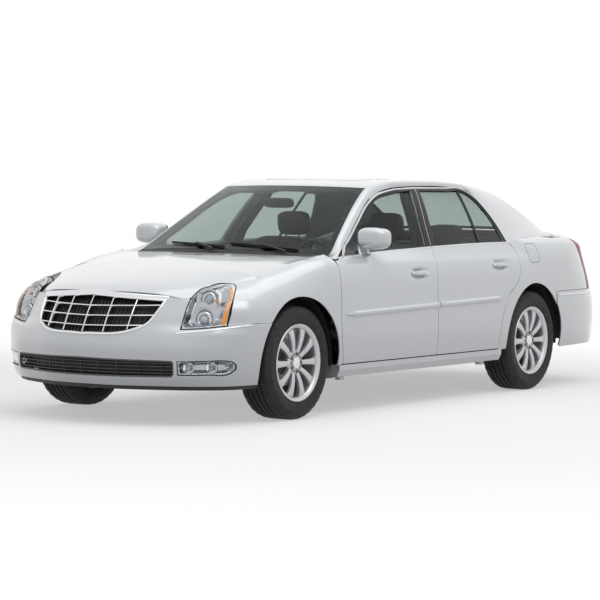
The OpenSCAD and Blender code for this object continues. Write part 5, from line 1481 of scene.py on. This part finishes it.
for i in range(5):
    a = 2 * math.pi * (i + 0.5) / 5
    c, s = math.cos(a), math.sin(a)
    nut = along_y(turned_solid([(0, 84), (9, 84), (9.5, 91), (7, 95), (0, 96)], 6))
    lugs.append((nut[0] + (57 * c, 0, 57 * s), nut[1]))
    # Black rings round each lug nut are painted shade for its recess in the wheel's face
    dark = along_y(lathe([(11.5, 86), (12.5, 90.2), (15.5, 90.6), (16.5, 87)], 32, "z"))
    recess_shades.append((dark[0] + (57 * c, 0, 57 * s), dark[1]))
    b = a + math.pi / 5
    # A small black ring between the nuts is painted shade for a small hole in the wheel's face
    slot_shade = along_y(lathe([(5, 87), (6, 90), (10, 90.4), (11, 87)], 24, "z"))
    recess_shades.append((slot_shade[0] + (56 * math.cos(b), 0, 56 * math.sin(b)), slot_shade[1]))
cap = along_y(turned_solid([(0, 84), (36, 84), (36.5, 92), (34.5, 96), (30, 97.5), (29, 96.8), (26, 97),
                            (15, 98.8), (0, 99.4)],
                           60))
valve = moved(along_y(turned_solid([(0, 0), (4, 0), (4, 22), (3, 26), (3, 34), (0, 35)], 16)),
              (0, 66, -196))
disc = lathe([(76, -34), (148, -34), (150, -32), (150, -24), (126, -24), (126, -16), (150, -16), (150, -8),
              (148, -6),
              (76, -6)], 96)
wheel_mesh = shared("wheel_mesh", [rim_ring, *spoke_parts, hub], ALLOY)
lug_mesh = shared("lug_mesh", lugs + [valve], STEEL)
# Painted shade of the lug recesses and the small holes, as black rings
recess_shade_mesh = shared("recess_shade_mesh", recess_shades, BLACK)
cap_mesh = shared("cap_mesh", [cap], CHROME)
disc_mesh = shared("disc_mesh", [disc, barrel], DISC)

# Tyre with a grooved tread, shoulder notches and ribs on its wall
half = [(BEAD + 0.5, 103), (BEAD + 6, 106), (BEAD + 19, 107), (BEAD + 24, 105), (BEAD + 34, 110.5),
        (BEAD + 52, 115.2),
        (BEAD + 66, 116.6), (BEAD + 78, 116.8), (BEAD + 80, 117.4), (BEAD + 84, 117.4), (BEAD + 86, 116.2),
        (TYRE - 34, 112.6), (TYRE - 24, 109), (TYRE - 14, 103), (TYRE - 7, 96), (TYRE - 3, 86),
        (TYRE - 1.2, 72)]
GROOVES = (52, 18)
tread = []
for g in GROOVES:
    tread += [(TYRE - 0.6, g + 6), (TYRE - 8, g + 4.5), (TYRE - 8, g - 4.5), (TYRE - 0.2, g - 6)]
profile = half + tread
profile = profile + [(r, -h) for r, h in reversed(profile)]
sections = 144
rings = []
for k in range(sections):
    a = 2 * math.pi * k / sections
    notch = 1 if k % 4 == 0 else 0
    ring = []
    for r, h in profile:
        cut = 3.2 * notch if TYRE - 30 < r < TYRE - 0.9 and abs(h) > 60 else 0
        ring.append(((r - cut) * math.cos(a), h, (r - cut) * math.sin(a)))
    rings.append(ring)
v, f = loft(np.array(rings), round_trip=True)
tyre_mesh = shared("tyre_mesh", (v, outward(v, f)), RUBBER, 32)

caliper = rounded_box((62, 74, 150), 5, 18)
for row, x in (("front", FRONT), ("rear", REAR)):
    for tag, side in SIDES.items():
        at = Matrix.Translation((x / 1000, side * TRACK / 2000, AXLE / 1000))
        if side < 0:
            at = at @ Matrix.Rotation(math.pi, 4, "Z")
        body = f"wheel_{row}_{tag}"
        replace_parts(put(f"wheel_{row}_{tag}_rim", wheel_mesh, None, body, at),
                    f"wheel_{row}_{tag}")
        put(f"wheel_{row}_{tag}_lugs", lug_mesh, None, body, at)
        # The black rings of painted shade in the lug recesses ride on each wheel
        put(f"wheel_{row}_{tag}_pockets", recess_shade_mesh, None, body, at)
        put(f"wheel_{row}_{tag}_cap", cap_mesh, None, body, at)
        put(f"wheel_{row}_{tag}_disc", disc_mesh, None, body, at)
        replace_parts(put(f"tyre_{row}_{tag}_tread", tyre_mesh, None, body, at), f"tyre_{row}_{tag}")
        carrier = f"knuckle_{tag}" if row == "front" else "car_body"
        way = -1 if row == "front" else 1
        part = moved(caliper, (x + way * 142, side * (TRACK / 2 - 22), AXLE + 20))
        make(f"caliper_{row}_{tag}", *part, STEEL, carrier, "steel")


# Seats: padded forms with seams and sewn channels
def pad(size, channels=0, power=4.2, seam=7.0, bolster=0.0):
    """A crowned pad on the XY plane with its outer side up.

    Sewn channels run along X, and bolsters stand up beside them.
    """
    v, f = rounded_box(size, power, 44)
    x, y, z = v[:, 0] / (size[0] / 2), v[:, 1] / (size[1] / 2), v[:, 2] / (size[2] / 2)
    v = v.copy()
    v[:, 1] *= 1 - 0.035 * (1 - x**2)
    v[:, 0] *= 1 - 0.03 * (1 - y**2)
    up = ease(0.1, 0.8, z)
    v[:, 2] += up * bolster * ease(0.55, 0.85, np.abs(y))
    lines = np.linspace(-0.55, 0.55, channels + 1) if channels else []
    for c in lines:
        v[:, 2] -= up * seam * np.exp(-(((y - c) * size[1] / 2) / 7.0) ** 2) * ease(0.97, 0.86, np.abs(x))
    if channels:
        v[:, 2] -= up * seam * np.exp(-(((np.abs(x) - 0.86) * size[0] / 2) / 7.0) ** 2) * (np.abs(y) < 0.6)
    welt = np.exp(-((z - 0.05) / 0.05) ** 2)
    v[:, 0] += np.sign(v[:, 0]) * 2.0 * welt * (np.abs(x) > 0.9)
    v[:, 1] += np.sign(v[:, 1]) * 2.0 * welt * (np.abs(y) > 0.9)
    return v, f


def cushion(name, part, at, lean, replaces=()):
    ob = make(name, *moved(part, at, ("Y", lean)), LEATHER, "car_body", "cloth", sharp=0)
    if replaces:
        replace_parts(ob, *replaces)
    return ob


for tag, side in SIDES.items():
    y = side * 380
    cushion(f"seat_cushion_{tag}", pad((500, 500, 130), 5, bolster=16), (205, y, 398), -5)
    cushion(f"seat_back_{tag}", pad((660, 480, 120), 5, bolster=18), (-108, y, 765), 106)
    cushion(f"headrest_{tag}", pad((170, 262, 92), 0, 3.6), (-216, y, 1165), 102)
    posts = [sweep([(-190, y + d, 1040), (-208, y + d, 1150)], [(1.0, 0, 0)] * 2, 12, 6,
                   TUBE) for d in (-55, 55)]
    make(f"headrest_posts_{tag}", *joined(posts), STEEL, "car_body", "steel")
    base = joined([moved(rounded_box((420, 350, 70), 8, 14), (170, y, 300)),
                   moved(rounded_box((460, 30, 40), 6, 12), (170, y - 150, 260)),
                   moved(rounded_box((460, 30, 40), 6, 12), (170, y + 150, 260))])
    make(f"seat_base_{tag}", *base, DASH, "car_body", "dark_plastic")
    cushion(f"rear_headrest_{tag}", pad((150, 270, 84), 0, 3.6), (-1142, side * 300, 1085), 104)
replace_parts(bpy.data.objects["seat_cushion_left"], "front_seats")
cushion("rear_cushion", pad((520, 1040, 140), 10, bolster=4), (-705, 0, 402), -5, ("rear_seat",))
cushion("rear_back", pad((600, 1040, 120), 10, bolster=4), (-1030, 0, 725), 107)
make("rear_seat_base", *moved(rounded_box((470, 1030, 100), 9, 16), (-715, 0, 295)), CARPET, "car_body",
     "cloth")

# Dashboard, console and carpets
SECTION = [(1204, 650), (1206, 925), (1150, 966), (1000, 972), (870, 955), (770, 912), (706, 858),
           (690, 800), (712, 745),
           (752, 660)]
section = dense(SECTION, 26, (0, 9))
rows = []
for f in np.linspace(-1, 1, 41):
    bulge = 26 * (1 - f**4)
    rows.append([(x - bulge * ease(980, 700, x), 686 * f, z - 8 * f**2 * ease(650, 960, z)) for x,
                 z in section])
v, f = loft(np.array(rows))
dash = make("dashboard_pad", v, outward(v - v.mean(0), f), DASH, "car_body", "dark_plastic")
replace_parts(dash, "dashboard")
hood_part = moved(rounded_box((190, 340, 96), 3.4, 24), (770, 380, 938))
make("dial_hood", *hood_part, DASH, "car_body", "dark_plastic")
stack = [moved(rounded_box((130, 270, 330), 7, 20), (735, 0, 735), ("Y", 14))]
make("centre_stack", *joined(stack), DASH, "car_body", "dark_plastic")
make("display_screen", *moved(rounded_box((10, 180, 96), 9, 12), (662, 0, 836), ("Y", 14)), SCREEN_GLOW,
     "car_body", "glass")
vents = []
for y in (-560, -480, 480, 560, -60, 60):
    for i in range(4):
        vents.append(moved(rounded_box((8, 64, 5), 5, 8),
                           (664 if abs(y) < 100 else 684, y,
                            896 - 11 * i if abs(y) < 100 else 850 - 11 * i)))
make("air_vents", *joined(vents), SLAT, "car_body", "dark_plastic")
f = np.linspace(-1, 1, 60)
wood = sweep(np.column_stack([661 + 26 * f**4, 670 * f, 806 - 6 * f**2]), np.tile((-1.0, 0, 0.1), (60, 1)),
             40, 3)
make("dash_veneer", *wood, WOOD, "car_body", "dark_plastic")
console = [moved(rounded_box((720, 210, 250), 7, 22), (340, 0, 385))]
make("centre_console", *joined(console), DASH, "car_body", "dark_plastic")
make("console_veneer", *moved(rounded_box((330, 150, 8), 6, 16), (470, 0, 512)), WOOD, "car_body",
     "dark_plastic")
arm = make("console_armrest", *moved(pad((300, 200, 74), 0, 4), (110, 0, 535)), LEATHER, "car_body",
           "cloth", sharp=0)
knob = aimed(turned_solid([(0, 0), (12, 0), (10, 60), (16, 76), (24, 92), (24, 116), (16, 126), (0, 128)],
                          28), (520, 0, 508),
             (-0.15, 0, 0.99))
make("gear_knob", *knob, LEATHER, "car_body", "dark_plastic")
path = Curve([(0, (-455, 246)), (1, (300, 246)), (2, (900, 246)), (3, (1030, 256)),
              (4, (1222, 430))])(np.linspace(0, 4, 60))
y = np.linspace(-706, 706, 61)
g = np.array([[(px, yy,
                pz + 84 * math.exp(-((yy / 120) ** 4)) * float(ease(1215, 1000, px))) for yy in y] for px,
                pz in path])
patch("cabin_carpet", g, UP, CARPET, "car_body", "cloth", 4, 0)

# Steering wheel with its spokes and pad
AWAY = (-0.906, 0, 0.423)
ring = lathe([(185 + 15 * math.cos(a), 15 * math.sin(a)) for a in np.arange(14) * 2 * math.pi / 14], 80,
             "z")
boss = turned_solid([(0, -24), (52, -24), (66, -8), (68, 8), (58, 18), (0, 22)], 44)
spokes = []
for a in (90, 210, 330):
    c, s = math.cos(math.radians(a)), math.sin(math.radians(a))
    line = [(r * c, r * s, h) for r, h in ((50, 2), (90, 0), (135, -3), (182, 0))]
    spokes.append(sweep(line, [(0, 0, 1.0)] * 4, [44, 34, 28, 30], 7))
at = (602, 380, 900)
rim = make("steering_rim", *aimed(joined([ring, *spokes]), at, AWAY), LEATHER, "steering_wheel",
           "dark_plastic")
make("steering_pad", *aimed(boss, at, AWAY), DASH, "steering_wheel", "dark_plastic")
column = aimed(turned_solid([(0, -150), (34, -150), (40, -80), (46, -40), (0, -38)], 32), at, AWAY)
make("steering_shroud", *column, DASH, "car_body", "dark_plastic")
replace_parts(rim, "steering_wheel")

# Inside mirror, lining, visors and the roof's shut line
make("inside_mirror", *moved(rounded_box((34, 236, 66), 4, 24), (528, 0, 1312), ("Y", 12)), BLACK,
     "car_body",
     "dark_plastic")
stem = sweep([(540, 0, 1318), (575, 0, 1333), (600, 0, 1326)], [(0, 1.0, 0)] * 3, 20, 9, TUBE)
make("mirror_stem", *stem, BLACK, "car_body", "dark_plastic")
make("inside_mirror_pane", *moved(rounded_box((4, 218, 52), 5, 16), (510, 0, 1309), ("Y", 12)), MIRROR,
     "car_body", "glass")
patch("headlining", top_grid(X_HEAD - 10, X_BACK + 20, 40, -0.97, 0.97, 41, 17), UP, LINING, "car_body",
      "cloth", 5, 0)
for tag, side in SIDES.items():
    visor = moved(rounded_box((150, 360, 16), 5, 18), (348, side * 290, 1392), ("Y", 10))
    make(f"sun_visor_{tag}", *visor, LINING, "car_body", "cloth")
a = np.linspace(0, 2 * math.pi, 120, endpoint=False)
c, s = np.cos(a), np.sin(a)
u, ys = -60 + 210 * np.sign(c) * np.abs(c) ** 0.25, 400 * np.sign(s) * np.abs(s) ** 0.25
g = top_point(u, ys / EDGE_Y(u))
make("roof_panel_line", *sweep(g, np.tile((0, 0, 1.0), (120, 1)), 5, 0.6, closed=True), SEAL, "car_body",
     "dark_plastic")

# Wipers, rear plate and exhaust tips
for i, (s0, s1) in enumerate(((0.72, 0.04), (0.0, -0.66))):
    sv = np.linspace(s0, s1, 30)
    uv = np.linspace(X_BASE - 26, X_BASE - 62, 30)
    g = top_point(uv, sv)
    n = unit(np.tile((0.5, 0, 0.86), (30, 1)))
    make(f"wiper_blade_{i}", *sweep(g + n * 7, n, 12, 7), SEAL, "car_body", "dark_plastic")
    g = np.array([top_point(np.asarray(X_BASE + 14.0), np.asarray(s0 - 0.08)),
                  top_point(np.asarray(X_BASE - 18.0), np.asarray(mix(s0, s1, 0.3))),
                  top_point(np.asarray(X_BASE - 44.0), np.asarray(mix(s0, s1, 0.5)))])
    make(f"wiper_arm_{i}", *sweep(g + n[:3] * 18, n[:3], 16, 6), BLACK, "car_body", "dark_plastic")
face = tail_point(np.array([0.0]), np.array([806.0]))[0]
make("plate_rear", *moved(rounded_box((6, 306, 153), 14, 16), face + (-4, 0, 0), ("Y", -6)), PLATE,
     "boot_lid", "paint")
y = np.linspace(-300, 300, 40)
p = tail_point(y, np.full(40, 905.0), -3)
make("lid_strip", *sweep(p, np.tile((-1.0, 0, 0.1), (40, 1)), 24, 14), CHROME, "boot_lid", "bright")
box_low, box_high = (np.array(c) * 1000 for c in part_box("exhaust"))
pipe_z = box_low[2] + 52
ducts = []
for side in (1, -1):
    can = rounded_box((520, 226, 124), 4.5, 26)
    ducts.append(moved(can, (box_low[0] + 330, side * 350, box_high[2] - 66)))
    line = [(box_low[0] + 560, side * 330, pipe_z + 10), (box_low[0] + 760, side * 305, pipe_z),
            (box_high[0] - 30, side * 300, pipe_z)]
    ducts.append(sweep(line, [(0, 0, 1.0)] * 3, 50, 25, TUBE))
pipes = make("exhaust_system", *joined(ducts), STEEL, "car_body", "steel")
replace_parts(pipes, "exhaust")
tip = [(26, 0), (30, -40), (32, -130), (30, -132), (28, -126), (26, -60)]
for tag, side in SIDES.items():
    ring = aimed(lathe(tip, 40, "z"), (box_low[0] + 90, side * 350, box_high[2] - 62), (1, 0, 0))
    make(f"exhaust_tip_{tag}", *ring, CHROME, "car_body", "bright")
soften("engine", 8, 2)


# Floor, light and camera
def seen_ray(tree):
    """1 for the rays that show the background: the camera's, and those that metal and glass send on."""
    path = tree.nodes.new("ShaderNodeLightPath")
    out = path.outputs["Is Camera Ray"]
    for other in ("Is Glossy Ray", "Is Transmission Ray"):
        n = tree.nodes.new("ShaderNodeMath")
        n.operation = "MAXIMUM"
        tree.links.new(out, n.inputs[0])
        tree.links.new(path.outputs[other], n.inputs[1])
        out = n.outputs[0]
    return out


def studio_floor():
    me = bpy.data.meshes.new("floor")
    r = 40
    me.from_pydata([(-r, -r, 0), (r, -r, 0), (r, r, 0), (-r, r, 0)], [], [(0, 1, 2, 3)])
    m = bpy.data.materials.new("pale_floor")
    m.use_nodes = True
    tree = m.node_tree
    shader = tree.nodes["Principled BSDF"]
    shader.inputs["Roughness"].default_value = 0.9
    shader.inputs["Specular IOR Level"].default_value = 0.1
    seen = seen_ray(tree)
    pale = tree.nodes.new("ShaderNodeMix")
    pale.data_type = "RGBA"
    pale.inputs[6].default_value = (0.2, 0.2, 0.205, 1)
    pale.inputs[7].default_value = (0.93, 0.93, 0.93, 1)
    tree.links.new(seen, pale.inputs[0])
    tree.links.new(pale.outputs[2], shader.inputs["Base Color"])
    glow = tree.nodes.new("ShaderNodeEmission")
    glow.inputs["Color"].default_value = (1, 1, 1, 1)
    span = tree.nodes.new("ShaderNodeVectorMath")
    span.operation = "LENGTH"
    fade = tree.nodes.new("ShaderNodeMapRange")
    fade.interpolation_type = "SMOOTHSTEP"
    fade.inputs["From Min"].default_value = 2.6
    fade.inputs["From Max"].default_value = 6.5
    fade.inputs["To Min"].default_value = 0.45
    part = tree.nodes.new("ShaderNodeMath")
    part.operation = "MULTIPLY"
    blend = tree.nodes.new("ShaderNodeMixShader")
    tree.links.new(tree.nodes.new("ShaderNodeTexCoord").outputs["Object"], span.inputs[0])
    tree.links.new(span.outputs["Value"], fade.inputs["Value"])
    tree.links.new(fade.outputs["Result"], part.inputs[0])
    tree.links.new(seen, part.inputs[1])
    tree.links.new(part.outputs[0], blend.inputs[0])
    tree.links.new(shader.outputs[0], blend.inputs[1])
    tree.links.new(glow.outputs[0], blend.inputs[2])
    tree.links.new(blend.outputs[0], tree.nodes["Material Output"].inputs["Surface"])
    me.materials.append(m)
    ob = bpy.data.objects.new("floor", me)
    bpy.context.scene.collection.objects.link(ob)
    ob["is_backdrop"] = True


studio_floor()
scene = bpy.context.scene
scene.view_settings.view_transform = "Standard"
world = scene.world or bpy.data.worlds.new("studio")
scene.world = world
world.use_nodes = True
tree = world.node_tree
sky = tree.nodes["Background"]
sky.inputs["Strength"].default_value = 1.0
place = tree.nodes.new("ShaderNodeTexCoord")
height = tree.nodes.new("ShaderNodeSeparateXYZ")
rise = tree.nodes.new("ShaderNodeMapRange")
rise.interpolation_type = "SMOOTHSTEP"
shade = tree.nodes.new("ShaderNodeMix")
white = tree.nodes.new("ShaderNodeMix")
for n in (shade, white):
    n.data_type = "RGBA"
rise.inputs["From Min"].default_value = 0.0
rise.inputs["From Max"].default_value = 0.55
shade.inputs[6].default_value = (0.14, 0.142, 0.146, 1)
shade.inputs[7].default_value = (0.62, 0.62, 0.62, 1)
white.inputs[7].default_value = (1, 1, 1, 1)
tree.links.new(place.outputs["Generated"], height.inputs[0])
tree.links.new(height.outputs["Z"], rise.inputs["Value"])
tree.links.new(rise.outputs["Result"], shade.inputs[0])
tree.links.new(shade.outputs[2], white.inputs[6])
tree.links.new(seen_ray(tree), white.inputs[0])
tree.links.new(white.outputs[2], sky.inputs["Color"])


def soft_light(name, at, aim, size, power):
    lamp = bpy.data.lights.new(name, "AREA")
    lamp.shape, lamp.size, lamp.size_y, lamp.energy = "RECTANGLE", size[0], size[1], power
    ob = bpy.data.objects.new(name, lamp)
    scene.collection.objects.link(ob)
    ob.location = at
    ob.rotation_euler = (Vector(aim) - Vector(at)).to_track_quat("-Z", "Y").to_euler()


soft_light("ceiling", (0.5, 1.0, 6.0), (0.2, 0.2, 0.6), (7, 4), 75)
soft_light("left_side", (2.0, 4.6, 6.2), (0.0, 0.6, 0.8), (7, 3), 115)

# The camera stands where the photograph was taken
EYE = Vector((14.532, 9.621, 1.481))
YAW, PITCH, ROLL = (math.radians(a) for a in (-146.006, -2.737, 0.577))
ahead = Vector((math.cos(PITCH) * math.cos(YAW), math.cos(PITCH) * math.sin(YAW), math.sin(PITCH)))
right = Vector((math.sin(YAW), -math.cos(YAW), 0))
above = right.cross(ahead)
right, above = (right * math.cos(ROLL) + above * math.sin(ROLL),
                above * math.cos(ROLL) - right * math.sin(ROLL))
lens = bpy.data.cameras.new("camera")
lens.sensor_width, lens.lens, lens.clip_end = 36, 153.3, 200
camera = bpy.data.objects.new("camera", lens)
scene.collection.objects.link(camera)
turn = Matrix((right, above, -ahead)).transposed()
camera.matrix_world = Matrix.Translation(EYE) @ turn.to_4x4()
scene.camera = camera

low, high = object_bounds()
